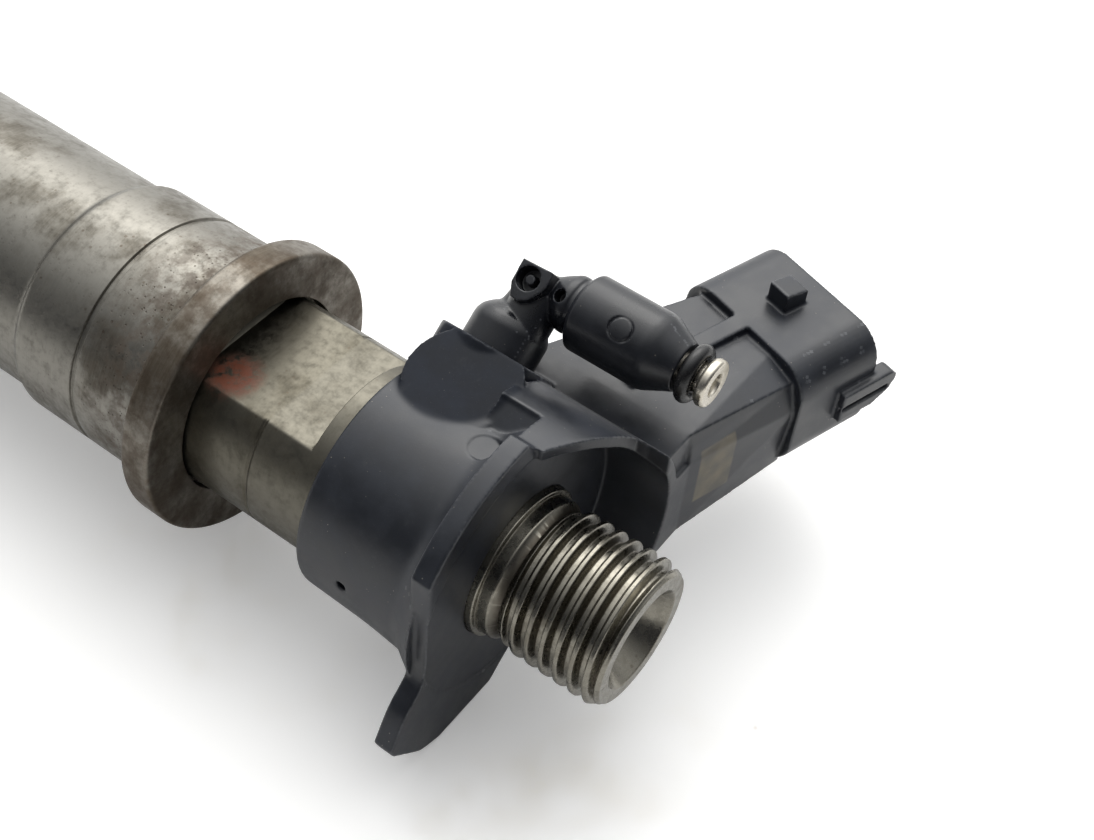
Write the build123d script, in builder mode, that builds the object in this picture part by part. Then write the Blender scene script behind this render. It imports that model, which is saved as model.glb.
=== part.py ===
from build123d import *

import os
from math import cos, radians, sin, tan

# Common-rail diesel injector, millimetres.
# +X runs along the injector axis towards the high-pressure inlet, +Y towards the electrical connector,
# and +Z is square to the spanner flats of the neck.  The origin is on the axis, on the clamp shoulder.

# ---------------------------------------------------------------- driving dimensions
INLET_END = 43.25
PLATE_FRONT = 30.25
PLATE_BACK = 28.25
COLLAR_BACK = 14.75
SPIGOT_STEP = 23.0
FLATS_END = 12.5
FLANGE_BACK = -3.3
SHOULDER_SMALL = -20.0
TAPER_TOP = -70.0
TAPER_END = -73.0
NUT_TOP = -78.0
BODY_END = -88.0
VALVE_PLATE_END = -95.0
THROTTLE_PLATE_END = -98.5
NOZZLE_SHOULDER = -119.0
WASHER_SEAT = -128.0
WASHER_THICKNESS = 1.5
NOZZLE_TIP = -147.0

THREAD_R = 7.0
THREAD_PITCH = 1.5
THREAD_ROOT_R = 6.1
NECK_R = 9.9
FLAT_DISTANCE = 7.5
FLANGE_R = 14.63
RECESS_R = 10.2
RECESS_DEPTH = 1.3
UPPER_R = 12.4
MIDDLE_R = 11.7
SHAFT_R = 9.75
NUT_THREAD_R = 8.5
STACK_R = 7.7
NOZZLE_R = 3.5
ACTUATOR_BORE_R = 4.9
ACTUATOR_BORE_TOP = -16.0
INLET_BORE_R = 2.2
FUEL_HOLE_R = 0.7
FUEL_HOLE_OUT = 8.6
FUEL_HOLE_END = 6.4
FIT = 0.02

COLLAR_R = 11.7
PLATE_R = 15.7
CUP_R = 14.5
CUP_INNER_R = 13.3
CUP_FRONT = 37.0
CUP_FLOOR = 30.05
ARM_FACE_Y = 16.3

BOSS_X = 18.5
BOSS_ANGLE = 52.0
BOSS_R = 5.7
BOSS_TOP = 14.8
SKIRT_R = 5.3
SKIRT_CENTRE = (19.9, 4.6, 9.5)
ELBOW_R = 3.7
NIPPLE_HEIGHT = 21.7
RETURN_HOLE_R = 1.5

CONNECTOR_TURN = 17.4
SHELL_LEFT = 14.1
SHELL_RIGHT = 31.0
SHELL_TOP = 7.0
SHELL_BOTTOM = -6.0
SHELL_BACK = 39.5
SHELL_FRONT = 49.4
SHELL_CORNER = 3.5
SHELL_WALL = 1.4
SOCKET_FLOOR = 41.0
ARM_LEFT = 16.2

LEAD_R = 0.45
LEAD_HOLE_R = 0.75
LEAD_Z_LOW = 1.2
LEAD_Z_HIGH = 1.8

PISTON_R = 3.2
VALVE_PISTON_R = 2.2
NEEDLE_R = 2.0
NEEDLE_STEM_R = 1.5

DOWEL_R = 0.8
DOWEL_RADIUS = 6.2
DOWEL_ANGLES = (40, 150)

os.makedirs("parts", exist_ok=True)


# ---------------------------------------------------------------- shared shapes
def turned(points):
    """A face to be revolved about X, from (x, radius) corners."""
    with BuildSketch(Plane.XY) as section:
        with BuildLine():
            Polyline(*points, close=True)
        make_face()
    return section.sketch


def disc(plane, radius):
    with BuildSketch(plane) as section:
        Circle(radius)
    return section.sketch


def outline(plane, points):
    with BuildSketch(plane) as section:
        with BuildLine():
            Polyline(*points, close=True)
        make_face()
    return section.sketch


def along(start, end):
    """A plane at start that faces end, and the distance between them."""
    step = Vector(*end) - Vector(*start)
    return Plane(origin=start, z_dir=step), step.length


def across_axis(x):
    """Plane square to the injector axis: local x is world Y, local y is world Z."""
    return Plane(origin=(x, 0, 0), x_dir=(0, 1, 0), z_dir=(1, 0, 0))


def tube_between(outer, inner, low, high):
    return turned([(low, inner), (high, inner), (high, outer), (low, outer)])


def coil(mean_r, wire_r, low, high, turns):
    """A compression spring about X, its wire standing between low and high."""
    height = high - low - 2 * wire_r
    with BuildPart() as spring:
        with BuildLine():
            path = Helix(height / turns, height, mean_r, center=(low + wire_r, 0, 0), direction=(1, 0, 0))
        with BuildSketch(Plane(origin=path @ 0, z_dir=path % 0)):
            Circle(wire_r)
        sweep(is_frenet=True)
    return spring.part


def boss_plane(height, x=BOSS_X):
    """Plane square to the return boss, at a height above the injector axis."""
    turn = radians(BOSS_ANGLE)
    out = Vector(0, sin(turn), cos(turn))
    return Plane(origin=Vector(x, 0, 0) + out * height, x_dir=(1, 0, 0), z_dir=out)


def connector_plane(distance):
    """Plane square to the connector, facing back to the injector: local x runs across the shell, local y is Z."""
    turn = radians(CONNECTOR_TURN)
    out = Vector(sin(turn), cos(turn), 0)
    return Plane(origin=out * distance, x_dir=(cos(turn), -sin(turn), 0), z_dir=out * -1)


def save(part, name):
    part.label = name
    export_step(part, f"parts/{name}.step")


# Metal surface that the plastic head is moulded on, shared by the body and the head.
SPIGOT_R = 7.4
SPIGOT_END = 30.7
NOSE_R = 6.9
NOSE_END = 31.9
GRIP_GROOVES = ((17.0, 18.4), (20.2, 21.4))
GRIP_DEPTH = 0.5

LEAD_STARTS = [(ACTUATOR_BORE_TOP - 1.0, 2.86, side * (LEAD_Z_LOW - 0.02)) for side in (-1, 1)]
LEAD_EXITS = [(SPIGOT_STEP, 8.3, side * LEAD_Z_HIGH) for side in (-1, 1)]
RETURN_CROSS = (BOSS_X, 3.2, 2.5)


def thread_ridge():
    """The inlet's helical thread form, trimmed to its crest and to the lead-in at both ends."""
    low = NOSE_END + 0.4
    high = INLET_END - 0.5
    root = THREAD_ROOT_R - 0.15
    with BuildPart() as ridge:
        with BuildLine():
            path = Helix(THREAD_PITCH, high - low, root, center=(low, 0, 0), direction=(1, 0, 0))
        start = path @ 0
        radial = Vector(0, start.Y, start.Z)
        with BuildSketch(Plane(origin=start, x_dir=radial, z_dir=path % 0)):
            with BuildLine():
                Polyline((0, -0.62), (1.14, -0.1), (1.14, 0.1), (0, 0.62), close=True)
            make_face()
        sweep(is_frenet=True)
        revolve(
            turned(
                [
                    (low - 2, 0),
                    (low - 2, THREAD_ROOT_R),
                    (low, THREAD_ROOT_R),
                    (low + 1.6, THREAD_R),
                    (INLET_END - 1.2, THREAD_R),
                    (INLET_END, 6.3),
                    (INLET_END, 0),
                ]
            ),
            axis=Axis.X,
            mode=Mode.INTERSECT,
        )
    return ridge.part


# ---------------------------------------------------------------- injector body
with BuildPart() as injector_body:
    revolve(
        turned(
            [
                (INLET_END, 0),
                (INLET_END, 6.35),
                (INLET_END - 0.35, 6.6),
                (INLET_END - 0.9, THREAD_ROOT_R),
                (NOSE_END + 0.6, THREAD_ROOT_R),
                (NOSE_END, NOSE_R),
                (SPIGOT_END, NOSE_R),
                (SPIGOT_END, SPIGOT_R - 0.2),
                (SPIGOT_END - 0.2, SPIGOT_R),
                (SPIGOT_STEP, SPIGOT_R),
                (SPIGOT_STEP, NECK_R),
                (0.0 - RECESS_DEPTH, NECK_R),
                (0.0 - RECESS_DEPTH, RECESS_R),
                (0.0, RECESS_R),
                (0.0, FLANGE_R - 0.35),
                (-0.35, FLANGE_R),
                (FLANGE_BACK + 0.5, FLANGE_R),
                (FLANGE_BACK, FLANGE_R - 0.5),
                (FLANGE_BACK, UPPER_R + 0.6),
                (FLANGE_BACK - 0.6, UPPER_R),
                (SHOULDER_SMALL + 0.7, UPPER_R),
                (SHOULDER_SMALL, MIDDLE_R),
                (TAPER_TOP, MIDDLE_R),
                (TAPER_END, SHAFT_R),
                (NUT_TOP, SHAFT_R),
                (NUT_TOP, NUT_THREAD_R),
                (BODY_END, NUT_THREAD_R),
                (BODY_END, 0),
            ]
        ),
        axis=Axis.X,
    )
    # retention grooves under the plastic, and turned marks on the neck and the upper barrel
    for low, high in GRIP_GROOVES:
        revolve(tube_between(NECK_R + 1, NECK_R - GRIP_DEPTH, low, high), axis=Axis.X, mode=Mode.SUBTRACT)
    revolve(tube_between(NECK_R + 1, NECK_R - 0.12, 7.15, 7.35), axis=Axis.X, mode=Mode.SUBTRACT)
    revolve(tube_between(UPPER_R + 1, UPPER_R - 0.25, -12.1, -11.5), axis=Axis.X, mode=Mode.SUBTRACT)
    # the two spanner flats, cut down into the recess of the flange
    for side in (-1, 1):
        flat = outline(
            Plane.XZ,
            [
                (0.0 - RECESS_DEPTH, side * FLAT_DISTANCE),
                (FLATS_END, side * FLAT_DISTANCE),
                (FLATS_END, side * RECESS_R),
                (0.0 - RECESS_DEPTH, side * RECESS_R),
            ],
        )
        extrude(flat, amount=RECESS_R, both=True, mode=Mode.SUBTRACT)
    # high-pressure inlet: sealing cone, bore and the drilled passages down one side
    revolve(
        turned(
            [
                (INLET_END + 1, 0),
                (INLET_END + 1, 4.9),
                (INLET_END, 4.9),
                (INLET_END - 2.7 / tan(radians(30)), INLET_BORE_R),
                (22.0, INLET_BORE_R),
                (20.8, 0),
            ]
        ),
        axis=Axis.X,
        mode=Mode.SUBTRACT,
    )
    plane, length = along((22.2, 0, 0), (-6.0, -FUEL_HOLE_OUT, 0))
    extrude(disc(plane, FUEL_HOLE_R), amount=length, mode=Mode.SUBTRACT)
    plane, length = along((-5.2, -FUEL_HOLE_OUT, 0), (BODY_END - 1, -FUEL_HOLE_END, 0))
    extrude(disc(plane, FUEL_HOLE_R), amount=length, mode=Mode.SUBTRACT)
    # actuator bore from below, lead holes and return passage above it
    revolve(turned([(ACTUATOR_BORE_TOP, 0), (ACTUATOR_BORE_TOP, ACTUATOR_BORE_R),
                    (BODY_END - 1, ACTUATOR_BORE_R), (BODY_END - 1, 0)]), axis=Axis.X, mode=Mode.SUBTRACT)
    for start, end in zip(LEAD_STARTS, LEAD_EXITS):
        plane, length = along(start, end)
        extrude(disc(plane, LEAD_HOLE_R), amount=length + 1, mode=Mode.SUBTRACT)
    plane, length = along((ACTUATOR_BORE_TOP - 0.5, 0, 3.3), RETURN_CROSS)
    extrude(disc(plane, 0.8), amount=length, mode=Mode.SUBTRACT)
    extrude(disc(boss_plane(4.0), RETURN_HOLE_R), amount=8, mode=Mode.SUBTRACT)
    # dowel holes in the lower face
    for angle in DOWEL_ANGLES:
        centre = (BODY_END - 1, DOWEL_RADIUS * sin(radians(angle)), DOWEL_RADIUS * cos(radians(angle)))
        extrude(disc(Plane(origin=centre, z_dir=(1, 0, 0)), DOWEL_R), amount=3.5, mode=Mode.SUBTRACT)
    add(thread_ridge())
save(injector_body.part, "injector_body")


# ---------------------------------------------------------------- plastic head
PIN_ACROSS = (20.3, 24.7)
PIN_HEIGHT = 0.5
PIN_BACK = 30.0
PIN_FRONT = 46.5
PLUG_BOTTOM = 10.6
PLUG_BORE_R = 3.76


def moulded_surface(x_high):
    """The metal that fills the head: neck, grip grooves, spigot and nose, up to x_high."""
    points = [(COLLAR_BACK - 1, 0), (COLLAR_BACK - 1, NECK_R)]
    for low, high in GRIP_GROOVES:
        points += [(low, NECK_R), (low, NECK_R - GRIP_DEPTH), (high, NECK_R - GRIP_DEPTH), (high, NECK_R)]
    points += [(SPIGOT_STEP, NECK_R), (SPIGOT_STEP, SPIGOT_R), (x_high, SPIGOT_R), (x_high, 0)]
    return turned(points)


def plate_outline():
    """Front plate and its hanging tongue, seen along the axis: y and z."""
    rim = PLATE_R
    upper = (rim * sin(radians(-52.8)), rim * cos(radians(-52.8)))
    middle = (rim * sin(radians(-27)), rim * cos(radians(-27)))
    with BuildSketch(across_axis(PLATE_BACK)) as section:
        with BuildLine():
            ThreePointArc((0, rim), middle, upper)
            Line(upper, (-12.55, 1.5))
            Spline((-12.55, 1.5), (-12.9, -3.2), (-15.5, -6.2), (-17.4, -9.5), tangents=((0, -1), (-0.55, -0.83)))
            Line((-17.4, -9.5), (-13.5, -14.3))
            Line((-13.5, -14.3), (-10.6, -15.8))
            Line((-10.6, -15.8), (-3.1, -15.8))
            Spline((-3.1, -15.8), (0.5, -13.0), (8.0, -10.5), (12.5, -7.3))
            Line((12.5, -7.3), (12.5, 7.3))
            RadiusArc((12.5, 7.3), (0.95, CUP_R - 0.03), -CUP_R)
            Line((0.95, CUP_R - 0.03), (0, rim))
        make_face()
    return section.sketch


def head_block(x_low, x_high, y_low, y_high, z_low, z_high):
    """A rectangular block between opposite corners."""
    with BuildSketch(Plane.XY.offset(z_low)) as section:
        with Locations(((x_low + x_high) / 2, (y_low + y_high) / 2)):
            Rectangle(x_high - x_low, y_high - y_low)
    return extrude(section.sketch, amount=z_high - z_low)


def cup_sector(x_low, x_high, first_angle, last_angle):
    """A solid sector of the cup that shields the inlet nut, between two angles from +Z towards +Y."""
    reach = CUP_R / cos(radians((last_angle - first_angle) / 4))
    middle = (first_angle + last_angle) / 2
    corners = [(reach * sin(radians(a)), reach * cos(radians(a)))
               for a in (first_angle, (first_angle + middle) / 2, middle, (middle + last_angle) / 2, last_angle)]
    with BuildSketch(across_axis(x_low)) as section:
        Circle(CUP_R)
        with BuildLine():
            Polyline((0, 0), *[(2 * y, 2 * z) for y, z in corners], close=True)
        make_face(mode=Mode.INTERSECT)
    return extrude(section.sketch, amount=x_high - x_low)


def boss_skirt():
    """Round skirt in front of the return boss, its top sloping from the rim down to the top of the collar."""
    x, y, z = SKIRT_CENTRE
    with BuildPart() as skirt:
        with BuildSketch(Plane.XY.offset(z)):
            with Locations((x, y)):
                Circle(SKIRT_R)
        extrude(amount=4)
        slope = [(-6.0, 9.0), (-6.0, 10.64), (8.6, 13.23), (8.6, 9.0)]
        extrude(outline(across_axis(x - 8), slope), amount=16, mode=Mode.INTERSECT)
    return skirt.part


def arm():
    """The solid neck from the cup to the shell, its front face turning as it goes."""
    near = outline(
        Plane(origin=(0, ARM_FACE_Y, 0), x_dir=(1, 0, 0), z_dir=(0, -1, 0)),
        [(19.6, -6.8), (CUP_FRONT, -6.8), (CUP_FRONT, 3.1), (36.8, 5.0), (36.5, 6.8), (19.6, 6.8)],
    )
    far = outline(
        connector_plane(SHELL_BACK + 0.5),
        [(ARM_LEFT, SHELL_BOTTOM), (29.7, SHELL_BOTTOM), (30.4, 2.2), (29.4, 5.3), (25.8, 6.2), (ARM_LEFT, 5.9)],
    )
    return loft([near, far], ruled=True)


def shell_section(distance, inset=0.0):
    width = SHELL_RIGHT - SHELL_LEFT - 2 * inset
    height = SHELL_TOP - SHELL_BOTTOM - 2 * inset
    with BuildSketch(connector_plane(distance)) as section:
        with Locations(((SHELL_LEFT + SHELL_RIGHT) / 2, (SHELL_TOP + SHELL_BOTTOM) / 2)):
            RectangleRounded(width, height, SHELL_CORNER - inset)
    return section.sketch


def side_plane(across):
    """Plane along the connector: local x runs out of the shell, local y is Z, facing the front of the shell."""
    turn = radians(CONNECTOR_TURN)
    side = Vector(cos(turn), -sin(turn), 0)
    return Plane(origin=side * across, x_dir=(sin(turn), cos(turn), 0), z_dir=side)


def connector_point(across, distance, height):
    return side_plane(across).from_local_coords(Vector(distance, height, 0))


def lead_path(side, across):
    """Where one lead runs: up its slanted hole, out of the neck and over to the back of its terminal pin."""
    start, leave = [Vector(*ends[side > 0]) for ends in (LEAD_STARTS, LEAD_EXITS)]
    step = (leave - start).normalized()
    return [
        start + step * 0.07,
        leave + step * 1.6,
        Vector(26.6, 12.5, side * 1.9),
        connector_point(across, PIN_BACK - 2.0, PIN_HEIGHT),
        connector_point(across, PIN_BACK, PIN_HEIGHT),
    ]


def lead(side, across):
    points = lead_path(side, across)
    with BuildPart() as wire:
        with BuildLine() as path:
            FilletPolyline(*points, radius=0.6)
        with BuildSketch(Plane(origin=path.line @ 0, z_dir=path.line % 0)):
            Circle(LEAD_R)
        sweep(path=path.line)
    return wire.part


def terminal_pin(across):
    """A flat blade with a pointed tip."""
    half_width, half_height = 0.4, 0.75
    blade = outline(
        side_plane(across - half_width),
        [
            (PIN_BACK, PIN_HEIGHT - half_height),
            (PIN_FRONT - 1.0, PIN_HEIGHT - half_height),
            (PIN_FRONT, PIN_HEIGHT - 0.25),
            (PIN_FRONT, PIN_HEIGHT + 0.25),
            (PIN_FRONT - 1.0, PIN_HEIGHT + half_height),
            (PIN_BACK, PIN_HEIGHT + half_height),
        ],
    )
    return extrude(blade, amount=2 * half_width)


leads = [lead(side, across) for side, across in zip((-1, 1), PIN_ACROSS)]
pins = [terminal_pin(across) for across in PIN_ACROSS]

with BuildPart() as connector_housing:
    # collar, flaring towards the plate, and the plate with its tongue
    revolve(turned([(COLLAR_BACK, 0), (COLLAR_BACK, COLLAR_R), (22.0, COLLAR_R + 0.15),
                    (PLATE_BACK - 2.0, COLLAR_R + 0.5), (PLATE_BACK - 0.6, COLLAR_R + 1.4),
                    (PLATE_BACK + 0.5, COLLAR_R + 2.0), (PLATE_BACK + 0.5, 0)]), axis=Axis.X)
    # the return boss and its skirt, which slopes down to the top of the collar
    add(boss_skirt())
    extrude(disc(boss_plane(8.0), BOSS_R), amount=BOSS_TOP - 8.0)
    extrude(plate_outline(), amount=PLATE_FRONT - PLATE_BACK)
    # cup and arm
    add(cup_sector(PLATE_BACK, CUP_FRONT, 3.9, 125.0))
    add(cup_sector(24.05, PLATE_BACK + 1, 18.2, 125.0))
    # sloping web under the back end of the cup
    web = [(4.75, 13.66), (1.2, 11.2), (6.0, 9.5), (8.0, 11.0)]
    extrude(outline(across_axis(24.05), web), amount=PLATE_BACK - 23.5)
    add(head_block(19.6, CUP_FRONT, 8.0, ARM_FACE_Y, -6.8, 3.1))
    add(head_block(19.6, 36.5, 8.0, ARM_FACE_Y, 3.1, 6.8))
    add(arm())
    # rim of the cup, falling away towards the top of the plate
    rim = [(-1.0, CUP_FRONT + 1), (-1.0, PLATE_FRONT), (0.9, PLATE_FRONT + 0.6), (4.3, 32.4), (7.2, 33.5),
           (9.3, 33.95), (10.6, 34.2), (11.3, 35.2), (12.0, CUP_FRONT), (12.0, CUP_FRONT + 1)]
    extrude(outline(Plane.XY, [(x, y) for y, x in rim]), amount=CUP_R + 2, mode=Mode.SUBTRACT)
    extrude(disc(across_axis(CUP_FLOOR), CUP_INNER_R), amount=10, mode=Mode.SUBTRACT)
    # connector shell, its locking nose, the rib behind it, the left corner web and the guide rib
    extrude(shell_section(SHELL_BACK), amount=SHELL_BACK - SHELL_FRONT)
    extrude(outline(side_plane(20.7), [(43.5, 6.0), (43.5, 9.2), (46.3, 8.7), (46.3, 6.0)]), amount=2.6)
    extrude(outline(side_plane(20.7), [(24.0, 3.0), (24.0, 6.2), (26.0, SHELL_TOP), (SHELL_BACK + 1, SHELL_TOP),
                                       (SHELL_BACK + 1, 3.0)]), amount=2.0)
    extrude(outline(side_plane(SHELL_LEFT), [(36.7, -2.0), (36.7, 3.2), (SHELL_BACK + 1, 3.6), (SHELL_BACK + 1, -2.0)]),
            amount=ARM_LEFT + 0.5 - SHELL_LEFT)
    extrude(outline(side_plane(30.2), [(44.8, -1.3), (49.4, -1.3), (51.2, -0.3), (51.9, 0.9), (51.9, 1.6),
                                       (51.2, 2.3), (44.8, 2.3)]), amount=1.7)
    extrude(outline(side_plane(31.2), [(44.9, 0.2), (51.0, 0.2), (51.0, 0.7), (44.9, 0.7)]),
            amount=1.0, mode=Mode.SUBTRACT)
    # socket in the shell
    extrude(shell_section(SOCKET_FLOOR, SHELL_WALL), amount=SOCKET_FLOOR - SHELL_FRONT - 2, mode=Mode.SUBTRACT)
    # vent disc, gate mark and the bore for the return elbow
    extrude(disc(Plane(origin=(25.8, 0, 11.9), z_dir=(0, 0, 1)), 1.45), amount=3, mode=Mode.SUBTRACT)
    extrude(disc(Plane(origin=(20.0, -10.9, 0), z_dir=(0, -1, 0)), 0.5), amount=2, mode=Mode.SUBTRACT)
    extrude(disc(boss_plane(PLUG_BOTTOM - 0.2), PLUG_BORE_R), amount=8, mode=Mode.SUBTRACT)
    extrude(disc(boss_plane(8.0), RETURN_HOLE_R + 0.1), amount=4, mode=Mode.SUBTRACT)
    # metal, leads and pins that the head is moulded round
    revolve(moulded_surface(PLATE_FRONT + 1), axis=Axis.X, mode=Mode.SUBTRACT)
    revolve(tube_between(NECK_R + 0.25, 0, COLLAR_BACK - 4, COLLAR_BACK), axis=Axis.X, mode=Mode.SUBTRACT)
    add(leads, mode=Mode.SUBTRACT)
    add(pins, mode=Mode.SUBTRACT)
save(connector_housing.part, "connector_housing")

with BuildPart() as terminal_pins:
    add(pins)
save(terminal_pins.part, "terminal_pins")

with BuildPart() as contact_leads:
    add(leads)
save(contact_leads.part, "contact_leads")

with BuildPart() as lead_seals:
    for start, end in zip(LEAD_STARTS, LEAD_EXITS):
        plane, length = along(end, start)
        extrude(disc(plane.offset(0.3), LEAD_HOLE_R), amount=3.5)
        extrude(disc(plane, LEAD_R), amount=5, mode=Mode.SUBTRACT)
save(lead_seals.part, "lead_seals")


# ---------------------------------------------------------------- return elbow and its fittings
BARREL_BACK = 23.6
BARREL_R = 3.68
BARREL_TAPER = 31.2
BARREL_END = 34.3
TIP_SEAL_X = 35.3
TIP_SEAL_WIRE = 0.7
TIP_NECK_R = 1.4
SHOULDER_HEIGHT = 17.2
NECK_HEIGHT = 22.7
PASSAGE_R = 1.3
CORNER_PASSAGE_R = 1.0
NIPPLE_PASSAGE_R = 0.8
LINK_OFFSET = -0.5


def nipple_plane(x):
    """Plane square to the nipple, on its axis."""
    return Plane(origin=boss_plane(NIPPLE_HEIGHT, x).origin, x_dir=(0, 1, 0), z_dir=(1, 0, 0))


def nipple_turned(points):
    """A face about the nipple's axis, from (x, radius) corners."""
    axis_point = boss_plane(NIPPLE_HEIGHT, 0).origin
    with BuildSketch(Plane(origin=axis_point, x_dir=(1, 0, 0), z_dir=(0, 0, 1))) as section:
        with BuildLine():
            Polyline(*points, close=True)
        make_face()
    return section.sketch


NIPPLE_AXIS = Axis(origin=boss_plane(NIPPLE_HEIGHT, 0).origin, direction=(1, 0, 0))
SEAL_HEIGHT = 12.2
SEAL_WIRE = 0.64
SEAL_CENTRE_R = 3.1
boss_across = Plane(origin=boss_plane(0).origin, x_dir=boss_plane(0).z_dir,
                    z_dir=(0, cos(radians(BOSS_ANGLE)), -sin(radians(BOSS_ANGLE))))

with BuildPart() as return_elbow:
    # plug and column, rounded at the shoulder, as one turned form about the boss axis
    with BuildSketch(boss_across):
        with BuildLine():
            Polyline(
                (PLUG_BOTTOM, 0), (PLUG_BOTTOM, ELBOW_R - 0.4), (PLUG_BOTTOM + 0.4, ELBOW_R),
                (SEAL_HEIGHT - 0.75, ELBOW_R), (SEAL_HEIGHT - 0.75, SEAL_CENTRE_R - SEAL_WIRE - 0.01),
                (SEAL_HEIGHT + 0.75, SEAL_CENTRE_R - SEAL_WIRE - 0.01), (SEAL_HEIGHT + 0.75, ELBOW_R),
                (SHOULDER_HEIGHT, ELBOW_R), (SHOULDER_HEIGHT + 0.8, 3.35), (SHOULDER_HEIGHT + 1.4, 2.7),
                (SHOULDER_HEIGHT + 1.8, 2.1), (SHOULDER_HEIGHT + 3.0, 1.85), (NECK_HEIGHT - 0.8, 1.75),
                (NECK_HEIGHT, 1.2), (NECK_HEIGHT, 0), close=True,
            )
        make_face()
    revolve(axis=Axis(origin=boss_plane(0).origin, direction=boss_plane(0).z_dir))
    # link from the corner to the barrel, flared, and set a little off the nipple's axis
    link_origin = boss_plane(NIPPLE_HEIGHT, 0).origin + boss_across.z_dir * LINK_OFFSET
    with BuildSketch(Plane(origin=link_origin, x_dir=(1, 0, 0), z_dir=(0, 0, 1))):
        with BuildLine():
            Polyline((BOSS_X, 0), (BOSS_X, 1.5), (20.3, 1.5), (21.3, 2.15), (22.4, 2.75), (23.0, 2.75),
                     (23.1, 2.6), (BARREL_BACK + 0.2, 2.6), (BARREL_BACK + 0.2, 0), close=True)
        make_face()
    revolve(axis=Axis(origin=link_origin, direction=(1, 0, 0)))
    # lug beside the corner, with a rounded lower edge
    with BuildSketch(Plane(origin=boss_plane(NIPPLE_HEIGHT).origin, x_dir=(1, 0, 0),
                           z_dir=boss_across.z_dir * -1)) as lug:
        with BuildLine():
            Polyline((2.4, 1.35), (-0.75, 1.25), (-0.7, -1.0), (-0.1, -2.2), (0.7, -2.3))
            ThreePointArc((0.7, -2.3), (2.05, -1.1), (2.5, 0.2))
            Line((2.5, 0.2), (2.4, 1.35))
        make_face()
    extrude(amount=3.9)
    extrude(lug.sketch, amount=-1.5)
    # barrel and taper to the tip seal
    revolve(
        nipple_turned([(BARREL_BACK, 0), (BARREL_BACK, BARREL_R - 0.3), (BARREL_BACK + 0.3, BARREL_R),
                       (BARREL_TAPER, BARREL_R), (BARREL_TAPER + 0.6, BARREL_R - 0.15), (33.8, 2.55),
                       (BARREL_END, 2.35), (BARREL_END, 0)]),
        axis=NIPPLE_AXIS,
    )
    # pocket with its pin, and the small hole beside it
    pocket = Plane(origin=boss_plane(NIPPLE_HEIGHT, BOSS_X + 0.55).origin + boss_across.z_dir * -3.9,
                   z_dir=boss_across.z_dir * -1)
    extrude(disc(pocket.offset(-1.6), 1.15), amount=3, mode=Mode.SUBTRACT)
    extrude(disc(pocket.offset(-1.8), 0.5), amount=1.5)
    vent = Plane(origin=boss_plane(NIPPLE_HEIGHT, 22.0).origin + boss_across.z_dir * -1.6,
                 z_dir=boss_across.z_dir * -1)
    extrude(disc(vent, 0.6), amount=3, mode=Mode.SUBTRACT)
    # flow passages: up the column and along the nipple, counterbored for the metal tip
    extrude(disc(boss_plane(PLUG_BOTTOM - 1), PASSAGE_R), amount=SHOULDER_HEIGHT - PLUG_BOTTOM, mode=Mode.SUBTRACT)
    extrude(disc(boss_plane(PLUG_BOTTOM), CORNER_PASSAGE_R), amount=NECK_HEIGHT - 0.15 - PLUG_BOTTOM,
            mode=Mode.SUBTRACT)
    extrude(disc(nipple_plane(BOSS_X), NIPPLE_PASSAGE_R), amount=28.5 - BOSS_X, mode=Mode.SUBTRACT)
    extrude(disc(nipple_plane(28.0), TIP_NECK_R), amount=10, mode=Mode.SUBTRACT)
    # blank round gate mark on the barrel
    mark = Plane(origin=boss_plane(NIPPLE_HEIGHT, 28.7).origin + boss_across.z_dir * -(BARREL_R - 0.12),
                 z_dir=boss_across.z_dir * -1)
    extrude(disc(mark, 1.15) - disc(mark, 1.0), amount=2, mode=Mode.SUBTRACT)
save(return_elbow.part, "return_elbow")

with BuildPart() as return_tip:
    revolve(
        nipple_turned([(28.0, 1.0), (28.0, TIP_NECK_R), (36.3, TIP_NECK_R), (36.45, 2.1), (36.7, 2.28),
                       (37.3, 2.28), (37.45, 2.15), (37.45, 1.15), (37.2, 1.0)]),
        axis=NIPPLE_AXIS,
    )
save(return_tip.part, "return_tip")

with BuildPart() as return_tip_seal:
    with Locations(nipple_plane(TIP_SEAL_X)):
        Torus(TIP_NECK_R + TIP_SEAL_WIRE, TIP_SEAL_WIRE)
save(return_tip_seal.part, "return_tip_seal")

with BuildPart() as return_boss_seal:
    with Locations(boss_plane(SEAL_HEIGHT)):
        Torus(SEAL_CENTRE_R, SEAL_WIRE)
save(return_boss_seal.part, "return_boss_seal")


# ---------------------------------------------------------------- inlet filter
FILTER_LOW = 24.0
FILTER_HIGH = 37.0
FILTER_R = INLET_BORE_R - FIT / 2

with BuildPart() as inlet_filter:
    revolve(turned([(FILTER_LOW, 0), (FILTER_LOW, FILTER_R - 0.5), (FILTER_LOW + 0.5, FILTER_R),
                    (FILTER_HIGH - 0.5, FILTER_R), (FILTER_HIGH, FILTER_R - 0.5), (FILTER_HIGH, 0)]), axis=Axis.X)
    # edge-filter grooves, open in turn at one end and at the other
    for number in range(8):
        low = FILTER_LOW - 1 if number % 2 else FILTER_LOW + 1.6
        angle = radians(45 * number)
        groove = Plane(origin=(low, FILTER_R * sin(angle), FILTER_R * cos(angle)), z_dir=(1, 0, 0))
        extrude(disc(groove, 0.5), amount=FILTER_HIGH - FILTER_LOW - 0.6, mode=Mode.SUBTRACT)
save(inlet_filter.part, "inlet_filter")


# ---------------------------------------------------------------- piezo actuator
SHIM_END = ACTUATOR_BORE_TOP - 1.0
HEAD_END = -21.0
FOOT_TOP = -57.0
FOOT_END = -60.0
GUIDED_R = ACTUATOR_BORE_R - 0.05
STACK_WIDTH = 6.2
SEAL_LOW = -58.8
SEAL_HIGH = -58.2
SEAL_GROOVE_R = 4.2

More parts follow.
